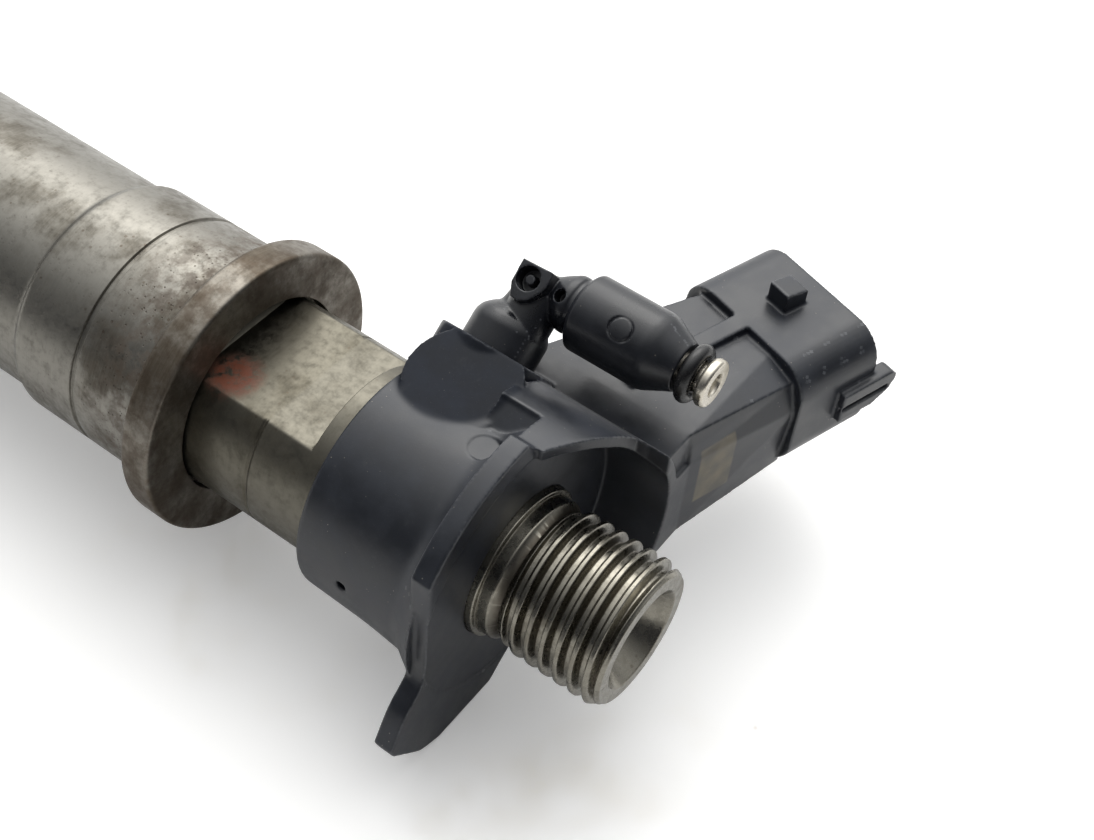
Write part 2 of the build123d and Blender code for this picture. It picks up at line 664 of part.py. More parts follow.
with BuildPart() as actuator_shim:
    revolve(tube_between(GUIDED_R, 4.0, SHIM_END, ACTUATOR_BORE_TOP), axis=Axis.X)
save(actuator_shim.part, "actuator_shim")

with BuildPart() as actuator_head:
    revolve(turned([(SHIM_END, 0), (SHIM_END, GUIDED_R - 0.4), (SHIM_END - 0.4, GUIDED_R),
                    (HEAD_END + 1.0, GUIDED_R), (HEAD_END + 1.0, 4.5), (HEAD_END, 4.5), (HEAD_END, 0)]), axis=Axis.X)
    # return grooves down the sides
    for side in (-1, 1):
        groove = Plane(origin=(HEAD_END - 1, 0, side * GUIDED_R), z_dir=(1, 0, 0))
        extrude(disc(groove, 0.8), amount=6, mode=Mode.SUBTRACT)
save(actuator_head.part, "actuator_head")

with BuildPart() as piezo_stack:
    with BuildSketch(across_axis(FOOT_TOP)) as stack_face:
        Rectangle(STACK_WIDTH, STACK_WIDTH)
        chamfer(stack_face.vertices(), 0.4)
        # contact rails on two faces
        Rectangle(STACK_WIDTH + 0.5, 1.2)
    extrude(amount=HEAD_END - FOOT_TOP)
save(piezo_stack.part, "piezo_stack")

with BuildPart() as tube_spring:
    slot_rows = 14
    row_pitch = (HEAD_END - FOOT_TOP - 3.0) / (slot_rows - 1)
    revolve(tube_between(4.8, 4.55, FOOT_TOP + FIT, HEAD_END - FIT), axis=Axis.X)
    for row in range(slot_rows):
        x = FOOT_TOP + 1.5 + row * row_pitch
        for side in (-1, 1):
            centre = (x, side * 4.6, 0) if row % 2 else (x, 0, side * 4.6)
            with Locations(centre):
                if row % 2:
                    Box(0.9, 6.0, 8.6, mode=Mode.SUBTRACT)
                else:
                    Box(0.9, 8.6, 6.0, mode=Mode.SUBTRACT)
save(tube_spring.part, "tube_spring")

with BuildPart() as actuator_foot:
    revolve(turned([(FOOT_TOP, 0), (FOOT_TOP, 4.4), (FOOT_TOP - 0.3, 4.7), (SEAL_HIGH + 0.01, 4.7),
                    (SEAL_HIGH + 0.01, SEAL_GROOVE_R - 0.01), (SEAL_LOW - 0.01, SEAL_GROOVE_R - 0.01),
                    (SEAL_LOW - 0.01, 4.7), (FOOT_END, 4.7), (FOOT_END, 0)]), axis=Axis.X)
save(actuator_foot.part, "actuator_foot")

with BuildPart() as actuator_seal:
    revolve(tube_between(ACTUATOR_BORE_R - FIT, SEAL_GROOVE_R, SEAL_LOW, SEAL_HIGH), axis=Axis.X)
save(actuator_seal.part, "actuator_seal")


# ---------------------------------------------------------------- hydraulic coupler
COUPLER_TOP = -64.0
PISTON_END = -72.0
PISTON_BORE_END = -74.0
VALVE_PISTON_TOP = -75.0
COUPLER_SKIRT = -86.0
BOLT_TOP = BODY_END - 0.25

with BuildPart() as coupler_piston:
    revolve(turned([(FOOT_END, 0), (FOOT_END, PISTON_R - FIT), (-68.0, PISTON_R - FIT), (-68.0, PISTON_R - 0.12),
                    (-68.5, PISTON_R - 0.12), (-68.5, PISTON_R - FIT), (PISTON_END + 0.2, PISTON_R - FIT),
                    (PISTON_END, PISTON_R - 0.3), (PISTON_END, 0)]), axis=Axis.X)
save(coupler_piston.part, "coupler_piston")

save(coil(4.1, 0.35, COUPLER_TOP + FIT, FOOT_END - FIT, 3), "coupler_spring")

with BuildPart() as coupler_body:
    revolve(turned([(COUPLER_TOP, PISTON_R), (COUPLER_TOP, GUIDED_R - 0.3), (COUPLER_TOP - 0.3, GUIDED_R),
                    (BODY_END, GUIDED_R), (BODY_END, 3.9), (COUPLER_SKIRT, 3.9), (COUPLER_SKIRT, VALVE_PISTON_R),
                    (PISTON_BORE_END, VALVE_PISTON_R), (PISTON_BORE_END, PISTON_R)]), axis=Axis.X)
    # return slots up the outside
    for side in (-1, 1):
        groove = Plane(origin=(BODY_END - 1, side * GUIDED_R, 0), z_dir=(1, 0, 0))
        extrude(disc(groove, 0.7), amount=30, mode=Mode.SUBTRACT)
    # breather slots through the skirt
    with Locations((BODY_END + 0.6, 0, 0)):
        Box(1.2, 12, 1.4, mode=Mode.SUBTRACT)
save(coupler_body.part, "coupler_body")

with BuildPart() as valve_piston:
    revolve(turned([(VALVE_PISTON_TOP, 0), (VALVE_PISTON_TOP, VALVE_PISTON_R - 0.25),
                    (VALVE_PISTON_TOP - 0.2, VALVE_PISTON_R - FIT), (-80.0, VALVE_PISTON_R - FIT),
                    (-80.0, VALVE_PISTON_R - 0.12), (-80.5, VALVE_PISTON_R - 0.12),
                    (-80.5, VALVE_PISTON_R - FIT), (BOLT_TOP + 0.4, VALVE_PISTON_R - FIT),
                    (BOLT_TOP, VALVE_PISTON_R - 0.4), (BOLT_TOP, 0)]), axis=Axis.X)
save(valve_piston.part, "valve_piston")


# ---------------------------------------------------------------- control valve
STEM_R = 1.0
BOLT_SEAT = -92.4
BOLT_HEAD_R = 1.7
BOLT_END = -94.4
VALVE_CHAMBER_R = 2.2
SPRING_POCKET_R = 1.7
SPRING_POCKET_END = -96.4


def dowel_holes(low, high):
    """The two dowel holes that line up the clamped stack."""
    with BuildPart() as holes:
        for angle in DOWEL_ANGLES:
            centre = (low, DOWEL_RADIUS * sin(radians(angle)), DOWEL_RADIUS * cos(radians(angle)))
            extrude(disc(Plane(origin=centre, z_dir=(1, 0, 0)), DOWEL_R), amount=high - low)
    return holes.part


def fuel_hole(low, high):
    """The high-pressure hole through the plates, on the -Y side."""
    with BuildPart() as hole:
        extrude(disc(Plane(origin=(low, -FUEL_HOLE_END, 0), z_dir=(1, 0, 0)), FUEL_HOLE_R), amount=high - low)
    return hole.part


with BuildPart() as valve_plate:
    revolve(turned([(BODY_END, 0), (BODY_END, STACK_R - 0.2), (BODY_END - 0.2, STACK_R),
                    (VALVE_PLATE_END + 0.2, STACK_R), (VALVE_PLATE_END, STACK_R - 0.2), (VALVE_PLATE_END, 0)]),
            axis=Axis.X)
    seat_r = STEM_R + FIT
    revolve(turned([(BODY_END + 1, 0), (BODY_END + 1, 2.4), (BODY_END - 0.8, 2.4), (BODY_END - 0.8, seat_r),
                    (BOLT_SEAT, seat_r), (BOLT_SEAT - VALVE_CHAMBER_R + seat_r, VALVE_CHAMBER_R),
                    (VALVE_PLATE_END - 1, VALVE_CHAMBER_R), (VALVE_PLATE_END - 1, 0)]),
            axis=Axis.X, mode=Mode.SUBTRACT)
    # spill passage from the stem back to the space under the coupler
    plane, length = along((-90.8, 0, 0.8), (BODY_END + 0.5, 0, 3.3))
    extrude(disc(plane, 0.4), amount=length, mode=Mode.SUBTRACT)
    add(fuel_hole(VALVE_PLATE_END - 1, BODY_END + 1), mode=Mode.SUBTRACT)
    add(dowel_holes(VALVE_PLATE_END - 1, BODY_END + 1), mode=Mode.SUBTRACT)
save(valve_plate.part, "valve_plate")

with BuildPart() as valve_bolt:
    revolve(turned([(BOLT_TOP, 0), (BOLT_TOP, STEM_R - 0.1), (BOLT_TOP - 0.1, STEM_R), (-89.6, STEM_R), (-89.8, 0.6),
                    (-91.6, 0.6), (-91.8, STEM_R), (BOLT_SEAT, STEM_R),
                    (BOLT_SEAT - BOLT_HEAD_R + STEM_R, BOLT_HEAD_R), (BOLT_END + 0.2, BOLT_HEAD_R),
                    (BOLT_END, BOLT_HEAD_R - 0.2), (BOLT_END, 0)]), axis=Axis.X)
save(valve_bolt.part, "valve_bolt")

with BuildPart() as throttle_plate:
    revolve(turned([(VALVE_PLATE_END, SPRING_POCKET_R), (VALVE_PLATE_END, STACK_R - 0.2),
                    (VALVE_PLATE_END - 0.2, STACK_R), (THROTTLE_PLATE_END + 0.2, STACK_R),
                    (THROTTLE_PLATE_END, STACK_R - 0.2), (THROTTLE_PLATE_END, 0.3), (-97.6, 0.3), (-97.2, 0.12),
                    (SPRING_POCKET_END, 0.12), (SPRING_POCKET_END, SPRING_POCKET_R)]), axis=Axis.X)
    # inlet throttle from the fuel hole to the chamber above the needle
    plane, length = along((-97.3, -FUEL_HOLE_END, 0), (THROTTLE_PLATE_END - 0.3, -1.0, 0))
    extrude(disc(plane, 0.12), amount=length, mode=Mode.SUBTRACT)
    add(fuel_hole(THROTTLE_PLATE_END - 1, VALVE_PLATE_END + 1), mode=Mode.SUBTRACT)
    add(dowel_holes(THROTTLE_PLATE_END - 1, VALVE_PLATE_END + 1), mode=Mode.SUBTRACT)
save(throttle_plate.part, "throttle_plate")

save(coil(1.2, 0.25, SPRING_POCKET_END + FIT, BOLT_END - FIT, 3), "valve_spring")

with BuildPart() as dowel_pins:
    for angle in DOWEL_ANGLES:
        pin_low = -100.5
        pin_high = -86.0
        pin_r = DOWEL_R - 0.01
        with BuildSketch(Plane(origin=(0, DOWEL_RADIUS * sin(radians(angle)), DOWEL_RADIUS * cos(radians(angle))),
                               x_dir=(1, 0, 0), z_dir=(0, 0, 1))) as pin_section:
            with BuildLine():
                Polyline((pin_low, 0), (pin_low, pin_r - 0.2), (pin_low + 0.3, pin_r), (pin_high - 0.3, pin_r),
                         (pin_high, pin_r - 0.2), (pin_high, 0), close=True)
            make_face()
        revolve(axis=Axis(origin=(0, DOWEL_RADIUS * sin(radians(angle)), DOWEL_RADIUS * cos(radians(angle))),
                          direction=(1, 0, 0)))
save(dowel_pins.part, "dowel_pins")


# ---------------------------------------------------------------- nozzle
SPRING_CHAMBER_R = 3.2
SPRING_CHAMBER_END = -112.0
GALLERY_TOP = -122.0
GALLERY_END = -124.5
GALLERY_R = 2.7
SHAFT_BORE_R = 1.6
NEEDLE_SHAFT_R = 1.2
SEAT_TOP = -142.6
SAC_R = 0.45
SEAT_SLOPE = tan(radians(30))
SLEEVE_FLANGE_LOW = -104.0
SHIM_TOP = -110.4
SHIM_LOW = -111.0
SPRAY_HOLES = 7
NOZZLE_RELIEF_R = NOZZLE_R - 0.2
NOZZLE_RELIEF_END = -130.0

with BuildPart() as nozzle_body:
    with BuildSketch(Plane.XY):
        with BuildLine():
            Polyline((NOZZLE_TIP, 0), (THROTTLE_PLATE_END, 0), (THROTTLE_PLATE_END, STACK_R - 0.2),
                     (THROTTLE_PLATE_END - 0.2, STACK_R), (NOZZLE_SHOULDER + 1.2, STACK_R),
                     (NOZZLE_SHOULDER, STACK_R - 1.2), (NOZZLE_SHOULDER, NOZZLE_RELIEF_R),
                     (NOZZLE_RELIEF_END, NOZZLE_RELIEF_R), (NOZZLE_RELIEF_END, NOZZLE_R), (-142.0, NOZZLE_R),
                     (-144.7, 1.62))
            ThreePointArc((-144.7, 1.62), (-146.3, 1.15), (NOZZLE_TIP, 0))
        make_face()
    revolve(axis=Axis.X)
    sac_top = SEAT_TOP - (SHAFT_BORE_R - SAC_R) / SEAT_SLOPE
    revolve(turned([(THROTTLE_PLATE_END + 1, 0), (THROTTLE_PLATE_END + 1, SPRING_CHAMBER_R),
                    (SPRING_CHAMBER_END, SPRING_CHAMBER_R), (SPRING_CHAMBER_END, NEEDLE_R), (GALLERY_TOP, NEEDLE_R),
                    (GALLERY_TOP - 0.6, GALLERY_R), (GALLERY_END + 0.6, GALLERY_R), (GALLERY_END, SHAFT_BORE_R),
                    (SEAT_TOP, SHAFT_BORE_R), (sac_top, SAC_R), (-145.5, SAC_R), (-145.8, SAC_R / 2), (-145.85, 0)]),
            axis=Axis.X, mode=Mode.SUBTRACT)
    # fuel hole down to the gallery
    plane, length = along((THROTTLE_PLATE_END + 0.5, -FUEL_HOLE_END, 0), (GALLERY_TOP - 1.3, -2.5, 0))
    extrude(disc(plane, 0.6), amount=length, mode=Mode.SUBTRACT)
    add(dowel_holes(-101.0, THROTTLE_PLATE_END + 1), mode=Mode.SUBTRACT)
    # spray holes
    for number in range(SPRAY_HOLES):
        angle = radians(360 / SPRAY_HOLES * number)
        spray = Plane(origin=(-145.2, 0, 0), z_dir=(-0.32, sin(angle), cos(angle)))
        extrude(disc(spray, 0.09), amount=3, mode=Mode.SUBTRACT)
save(nozzle_body.part, "nozzle_body")

with BuildPart() as nozzle_needle:
    needle_seat = SEAT_TOP - (SHAFT_BORE_R - NEEDLE_SHAFT_R) / SEAT_SLOPE + FIT
    revolve(turned([(-99.2, 0), (-99.2, NEEDLE_STEM_R - 0.3), (-99.5, NEEDLE_STEM_R - FIT),
                    (SHIM_LOW, NEEDLE_STEM_R - FIT), (SHIM_LOW, NEEDLE_R - FIT), (-121.4, NEEDLE_R - FIT),
                    (-122.4, NEEDLE_SHAFT_R), (needle_seat, NEEDLE_SHAFT_R),
                    (needle_seat - (NEEDLE_SHAFT_R - 0.2) / SEAT_SLOPE, 0.2),
                    (needle_seat - (NEEDLE_SHAFT_R - 0.2) / SEAT_SLOPE, 0)]), axis=Axis.X)
save(nozzle_needle.part, "nozzle_needle")

with BuildPart() as spring_sleeve:
    revolve(turned([(THROTTLE_PLATE_END, 1.7), (THROTTLE_PLATE_END, 1.9), (THROTTLE_PLATE_END - 0.4, 2.2),
                    (SLEEVE_FLANGE_LOW + 1.0, 2.2), (SLEEVE_FLANGE_LOW + 1.0, 2.95), (SLEEVE_FLANGE_LOW, 2.95),
                    (SLEEVE_FLANGE_LOW, NEEDLE_STEM_R + FIT), (THROTTLE_PLATE_END - 0.3, NEEDLE_STEM_R + FIT)]),
            axis=Axis.X)
save(spring_sleeve.part, "spring_sleeve")

save(coil(2.45, 0.35, SHIM_TOP + FIT, SLEEVE_FLANGE_LOW - FIT, 5), "needle_spring")

with BuildPart() as spring_shim:
    revolve(tube_between(2.9, NEEDLE_STEM_R + FIT, SHIM_LOW, SHIM_TOP), axis=Axis.X)
save(spring_shim.part, "spring_shim")


# ---------------------------------------------------------------- retaining nut and washer
NUT_TAPER_TOP = -122.0
NUT_TAPER_END = -126.0
NUT_END_R = 7.4
NUT_FLAT_DISTANCE = 9.1
NUT_FLATS = (-108.0, -96.0)
SHAFT_HOLE_R = 3.75

with BuildPart() as nozzle_nut:
    revolve(turned([(NUT_TOP, NUT_THREAD_R + FIT), (NUT_TOP, SHAFT_R - 0.4), (NUT_TOP - 0.4, SHAFT_R),
                    (NUT_TAPER_TOP, SHAFT_R), (NUT_TAPER_END, NUT_END_R), (WASHER_SEAT, NUT_END_R),
                    (WASHER_SEAT, SHAFT_HOLE_R), (NOZZLE_SHOULDER, SHAFT_HOLE_R), (NOZZLE_SHOULDER, STACK_R + 0.05),
                    (BODY_END - 0.5, STACK_R + 0.05), (BODY_END - 0.5, NUT_THREAD_R + FIT)]), axis=Axis.X)
    # six spanner flats
    for number in range(6):
        angle = radians(60 * number)
        flat = Plane(origin=(sum(NUT_FLATS) / 2, NUT_FLAT_DISTANCE * sin(angle), NUT_FLAT_DISTANCE * cos(angle)),
                     x_dir=(1, 0, 0), z_dir=(0, sin(angle), cos(angle)))
        with BuildSketch(flat):
            Rectangle(NUT_FLATS[1] - NUT_FLATS[0], 2 * SHAFT_R)
        extrude(amount=2, mode=Mode.SUBTRACT)
save(nozzle_nut.part, "nozzle_nut")

with BuildPart() as sealing_washer:
    revolve(tube_between(NUT_END_R, SHAFT_HOLE_R, WASHER_SEAT - WASHER_THICKNESS, WASHER_SEAT), axis=Axis.X)
save(sealing_washer.part, "sealing_washer")
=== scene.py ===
import math

import bmesh
import bpy
import numpy as np
from mathutils import Matrix, Vector


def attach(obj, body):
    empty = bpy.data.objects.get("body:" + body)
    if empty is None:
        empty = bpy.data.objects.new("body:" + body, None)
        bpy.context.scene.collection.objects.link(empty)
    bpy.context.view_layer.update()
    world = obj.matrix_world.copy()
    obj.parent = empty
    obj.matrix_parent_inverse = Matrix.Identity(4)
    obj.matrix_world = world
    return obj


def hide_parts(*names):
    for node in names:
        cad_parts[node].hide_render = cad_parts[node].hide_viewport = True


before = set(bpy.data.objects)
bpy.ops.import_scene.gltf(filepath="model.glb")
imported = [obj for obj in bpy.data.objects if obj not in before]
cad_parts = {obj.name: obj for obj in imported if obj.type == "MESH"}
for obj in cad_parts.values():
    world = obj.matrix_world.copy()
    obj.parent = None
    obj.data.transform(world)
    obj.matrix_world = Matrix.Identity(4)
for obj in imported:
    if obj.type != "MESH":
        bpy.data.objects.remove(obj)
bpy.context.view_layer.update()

MM = 0.001
TAU = 2 * math.pi

# ---------------------------------------------------------------- dimensions, millimetres
INLET_END = 43.25
NOSE_END = 31.9
THREAD_PITCH = 1.5
THREAD_ROOT = 6.1
THREAD_CREST = 7.0
THREAD_DEEP_END = 5.5
SPIGOT_R = 7.4
NOSE_R = 6.9
NECK_R = 9.9
NECK_END = 23.0
FLAT_DISTANCE = 7.5
FLATS_END = 12.5
FLAT_RAMP = 0.12
RECESS_DEPTH = 1.3
RECESS_R = 10.2
FLANGE_R = 14.63
FLANGE_BACK = -3.3
BARREL_R = 12.4
BARREL_STEP = -20.0
LOWER_BARREL_R = 11.7
SHANK_R = 9.75
SHANK_END = -78.0
NUT_THREAD_R = 8.5
BODY_END = -88.0
HEX_BACK = -96.0
HEX_FRONT = -108.0
HEX_HALF = 9.1
NUT_FACE = -128.0
NUT_FACE_R = 7.4
WASHER_FACE = -129.5
WASHER_HOLE_R = 3.75
NOZZLE_GUIDE_R = 7.7
NOZZLE_RELIEF_R = 3.3
NOZZLE_R = 3.5
NOZZLE_END = -147.0
SPRAY_HOLES = 7
COLLAR_BACK = 14.75
PLATE_BACK = 28.25
PLATE_FRONT = 30.25
PLATE_R = 15.7
CUP_R = 14.5
CUP_INNER_R = 13.3
CUP_FRONT = 37.0
CUP_FLOOR = 30.05
BOSS_X = 18.5
BOSS_R = 5.7
BOSS_TOP = 14.8
NIPPLE_HEIGHT = 21.7
NIPPLE_R = 3.68
FLOOR_Z = -16.3
SHELL = {"left": 14.1, "right": 31.0, "top": 7.0, "bottom": -6.0, "back": 39.5, "front": 49.4, "corner": 3.5}
BOSS_TURN = math.radians(52.0)
CONNECTOR_TURN = math.radians(17.4)

AXIS_X = Vector((1, 0, 0))
BOSS_OUT = Vector((0, math.sin(BOSS_TURN), math.cos(BOSS_TURN)))
BOSS_SIDE = Vector((0, math.cos(BOSS_TURN), -math.sin(BOSS_TURN)))
PLUG_OUT = Vector((math.sin(CONNECTOR_TURN), math.cos(CONNECTOR_TURN), 0))
PLUG_SIDE = Vector((math.cos(CONNECTOR_TURN), -math.sin(CONNECTOR_TURN), 0))
UP = Vector((0, 0, 1))


# ---------------------------------------------------------------- mesh helpers
def mesh_object(name, verts, faces):
    mesh = bpy.data.meshes.new(name)
    mesh.from_pydata((np.asarray(verts, float) * MM).tolist(), [], faces)
    mesh.update()
    mesh.shade_smooth()
    obj = bpy.data.objects.new(name, mesh)
    bpy.context.scene.collection.objects.link(obj)
    return obj


CORNER_STEPS = 4


def rounded(corners):
    """Corners (x, r, rounding) turned into points, each rounded corner with a holding point on both sides."""
    points = []
    for i, (x, r, size) in enumerate(corners):
        here = np.array((x, r), float)
        if size <= 0 or i in (0, len(corners) - 1):
            points.append(here)
            continue
        before = np.array(corners[i - 1][:2], float) - here
        after = np.array(corners[i + 1][:2], float) - here
        cut = min(size, 0.38 * np.linalg.norm(before), 0.38 * np.linalg.norm(after))
        before *= cut / np.linalg.norm(before)
        after *= cut / np.linalg.norm(after)
        points.append(here + before * 1.3)
        for k in range(CORNER_STEPS + 1):
            t = k / CORNER_STEPS
            points.append(here + before * (1 - t) ** 2 + after * t**2)
        points.append(here + after * 1.3)
    return points


def revolve(name, points, count=256, shape=None, origin=Vector((0, 0, 0)), axis=AXIS_X):
    """Turns (x, r) points about an axis. Ends on the axis close the mesh.

    shape(x, r, angles) may change the radius from angle to angle.
    """
    angles = np.arange(count) * TAU / count
    side = Vector((0, 1, 0)) if abs(axis.y) < 0.9 else Vector((1, 0, 0))
    u = (side - axis * side.dot(axis)).normalized()
    v = axis.cross(u)
    o, a, u, v = (np.array(w) for w in (origin, axis, u, v))
    verts, rings = [], []
    for x, r in points:
        if r < 1e-6:
            rings.append([len(verts)])
            verts.append(o + a * x)
            continue
        radii = np.full(count, r) if shape is None else shape(x, r, angles)
        rings.append(list(range(len(verts), len(verts) + count)))
        ring = o + a * x + np.outer(radii * np.cos(angles), u) + np.outer(radii * np.sin(angles), v)
        verts.extend(ring)
    faces = []
    pairs = list(zip(rings, rings[1:]))
    if len(rings[0]) > 1 and len(rings[-1]) > 1:
        pairs.append((rings[-1], rings[0]))
    for low, high in pairs:
        if len(low) == 1 and len(high) == 1:
            continue
        for k in range(count):
            n = (k + 1) % count
            if len(low) == 1:
                faces.append((low[0], high[n], high[k]))
            elif len(high) == 1:
                faces.append((low[k], low[n], high[0]))
            else:
                faces.append((low[k], low[n], high[n], high[k]))
    obj = mesh_object(name, verts, faces)
    outward(obj)
    return obj


def outward(obj):
    bm = bmesh.new()
    bm.from_mesh(obj.data)
    bmesh.ops.recalc_face_normals(bm, faces=bm.faces)
    bm.to_mesh(obj.data)
    bm.free()


def capped_faces(count):
    """Faces of a tube between two loops of count points each, with both ends closed."""
    faces = [tuple(range(count)), tuple(reversed(range(count, 2 * count)))]
    faces += [(k, k + count, (k + 1) % count + count, (k + 1) % count) for k in range(count)]
    return faces


def prism(name, loop, offset):
    """A closed loop of points pushed along offset."""
    loop = [Vector(p) for p in loop]
    verts = [tuple(p) for p in loop] + [tuple(p + Vector(offset)) for p in loop]
    obj = mesh_object(name, verts, capped_faces(len(loop)))
    outward(obj)
    return obj


def between(name, low_loop, high_loop):
    """A ruled solid between two loops of the same length."""
    verts = [tuple(p) for p in low_loop] + [tuple(p) for p in high_loop]
    obj = mesh_object(name, verts, capped_faces(len(low_loop)))
    bm = bmesh.new()
    bm.from_mesh(obj.data)
    bmesh.ops.triangulate(bm, faces=bm.faces)
    bmesh.ops.recalc_face_normals(bm, faces=bm.faces)
    bm.to_mesh(obj.data)
    bm.free()
    return obj


def rod(name, origin, direction, radius, length, count=96):
    return revolve(name, [(0, 0), (0, radius), (length, radius), (length, 0)], count, None,
                   Vector(origin), Vector(direction).normalized())


def block(name, low, high):
    (x0, y0, z0), (x1, y1, z1) = low, high
    return prism(name, [(x0, y0, z0), (x1, y0, z0), (x1, y1, z0), (x0, y1, z0)], (0, 0, z1 - z0))


def boss_point(x, height, side=0.0):
    return AXIS_X * x + BOSS_OUT * height + BOSS_SIDE * side


def plug_point(across, distance, height):
    return PLUG_SIDE * across + PLUG_OUT * distance + UP * height


def join(name, parts):
    bm = bmesh.new()
    for part in parts:
        bm.from_mesh(part.data)
        bpy.data.objects.remove(part)
    mesh = bpy.data.meshes.new(name)
    bm.to_mesh(mesh)
    bm.free()
    obj = bpy.data.objects.new(name, mesh)
    bpy.context.scene.collection.objects.link(obj)
    return obj


def apply(obj):
    """Bakes the object's modifiers into its mesh."""
    graph = bpy.context.evaluated_depsgraph_get()
    graph.update()
    mesh = bpy.data.meshes.new_from_object(obj.evaluated_get(graph))
    obj.modifiers.clear()
    obj.data = mesh
    return obj


def carve(obj, cutters, operation="DIFFERENCE"):
    for cutter in cutters:
        change = obj.modifiers.new("carve", "BOOLEAN")
        change.operation = operation
        change.solver = "MANIFOLD"
        change.object = cutter
        apply(obj)
        bpy.data.objects.remove(cutter)
    return obj


def remeshed(obj, size, passes):
    """Merges overlapping shells into one skin and softens its edges by about one cell."""
    skin = obj.modifiers.new("skin", "REMESH")
    skin.mode = "VOXEL"
    skin.voxel_size = size * MM
    skin.use_smooth_shade = True
    if passes:
        soften = obj.modifiers.new("soften", "SMOOTH")
        soften.factor = 0.5
        soften.iterations = passes
    apply(obj)
    obj.data.shade_smooth()
    return obj


def piece(obj, name, body, *nodes):
    """Names a finished piece, hangs it on its body and lets it stand for its CAD nodes."""
    obj.name = name
    obj.data.name = name
    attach(obj, body)
    if nodes:
        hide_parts(*nodes)
    return obj


# ---------------------------------------------------------------- node materials
class Shader:
    """A small hand for writing node trees: every method returns a socket."""

    def __init__(self, name):
        self.material = bpy.data.materials.new(name)
        self.material.use_nodes = True
        self.tree = self.material.node_tree
        self.tree.nodes.clear()
        self.out = self.tree.nodes.new("ShaderNodeOutputMaterial")
        self.surface = self.tree.nodes.new("ShaderNodeBsdfPrincipled")
        self.tree.links.new(self.surface.outputs[0], self.out.inputs[0])
        place = self.tree.nodes.new("ShaderNodeTexCoord")
        self.place = self.vector("MULTIPLY", place.outputs["Object"], (1000, 1000, 1000))

    def feed(self, socket, value):
        if isinstance(value, bpy.types.NodeSocket):
            self.tree.links.new(value, socket)
        elif value is not None:
            takes_many = hasattr(socket.default_value, "__len__")
            if takes_many and not hasattr(value, "__len__"):
                value = [value] * len(socket.default_value)
            if takes_many and len(value) == 3 and len(socket.default_value) == 4:
                value = (*value, 1)
            socket.default_value = value

    def vector(self, operation, a, b):
        n = self.tree.nodes.new("ShaderNodeVectorMath")
        n.operation = operation
        self.feed(n.inputs[0], a)
        self.feed(n.inputs[1], b)
        return n.outputs[0]

    def math(self, operation, a, b):
        n = self.tree.nodes.new("ShaderNodeMath")
        n.operation = operation
        for socket, value in zip(n.inputs, (a, b)):
            self.feed(socket, value)
        return n.outputs[0]

    def noise(self, scale, detail=4.0, rough=0.55, stretch=(1, 1, 1), shift=(0, 0, 0)):
        where = self.vector("MULTIPLY", self.vector("ADD", self.place, shift), stretch)
        n = self.tree.nodes.new("ShaderNodeTexNoise")
        self.feed(n.inputs["Vector"], where)
        self.feed(n.inputs["Scale"], scale)
        self.feed(n.inputs["Detail"], detail)
        self.feed(n.inputs["Roughness"], rough)
        return n.outputs["Fac"]

    def cells(self, scale, shift=(0, 0, 0)):
        where = self.vector("ADD", self.place, shift)
        n = self.tree.nodes.new("ShaderNodeTexVoronoi")
        self.feed(n.inputs["Vector"], where)
        self.feed(n.inputs["Scale"], scale)
        return n.outputs["Distance"]

    def ramp(self, value, low, high, low_to=0.0, high_to=1.0):
        n = self.tree.nodes.new("ShaderNodeMapRange")
        n.interpolation_type = "SMOOTHSTEP"
        for socket, v in zip(n.inputs, (value, low, high, low_to, high_to)):
            self.feed(socket, v)
        return n.outputs[0]

    def mix(self, amount, a, b):
        n = self.tree.nodes.new("ShaderNodeMix")
        n.data_type = "RGBA"
        self.feed(n.inputs["Factor"], amount)
        colour_inputs = [s for s in n.inputs if s.type == "RGBA"]
        self.feed(colour_inputs[0], a)
        self.feed(colour_inputs[1], b)
        return [s for s in n.outputs if s.type == "RGBA"][0]

    def axis(self, which):
        n = self.tree.nodes.new("ShaderNodeSeparateXYZ")
        self.feed(n.inputs[0], self.place)
        return n.outputs[which]

    def near(self, point, low, high):
        """1 within low of a point, 0 beyond high, millimetres."""
        n = self.tree.nodes.new("ShaderNodeVectorMath")
        n.operation = "DISTANCE"
        self.feed(n.inputs[0], self.place)
        self.feed(n.inputs[1], point)
        return self.ramp(n.outputs["Value"], low, high, 1.0, 0.0)

    def edges(self, low, high):
        """How far a surface point stands on a convex edge."""
        n = self.tree.nodes.new("ShaderNodeNewGeometry")
        return self.ramp(n.outputs["Pointiness"], low, high)

    def bump(self, height, distance, strength=1.0, normal=None):
        n = self.tree.nodes.new("ShaderNodeBump")
        self.feed(n.inputs["Height"], height)
        self.feed(n.inputs["Distance"], distance * MM)
        self.feed(n.inputs["Strength"], strength)
        if normal is not None:
            self.feed(n.inputs["Normal"], normal)
        return n.outputs[0]

    def finish(self, colour, rough, metallic=0.0, normal=None, **more):
        self.feed(self.surface.inputs["Base Color"], colour)
        self.feed(self.surface.inputs["Roughness"], rough)
        self.feed(self.surface.inputs["Metallic"], metallic)
        if normal is not None:
            self.feed(self.surface.inputs["Normal"], normal)
        for key, value in more.items():
            self.feed(self.surface.inputs[key.replace("_", " ")], value)
        return self.material


GRIME = (0.07, 0.05, 0.035)


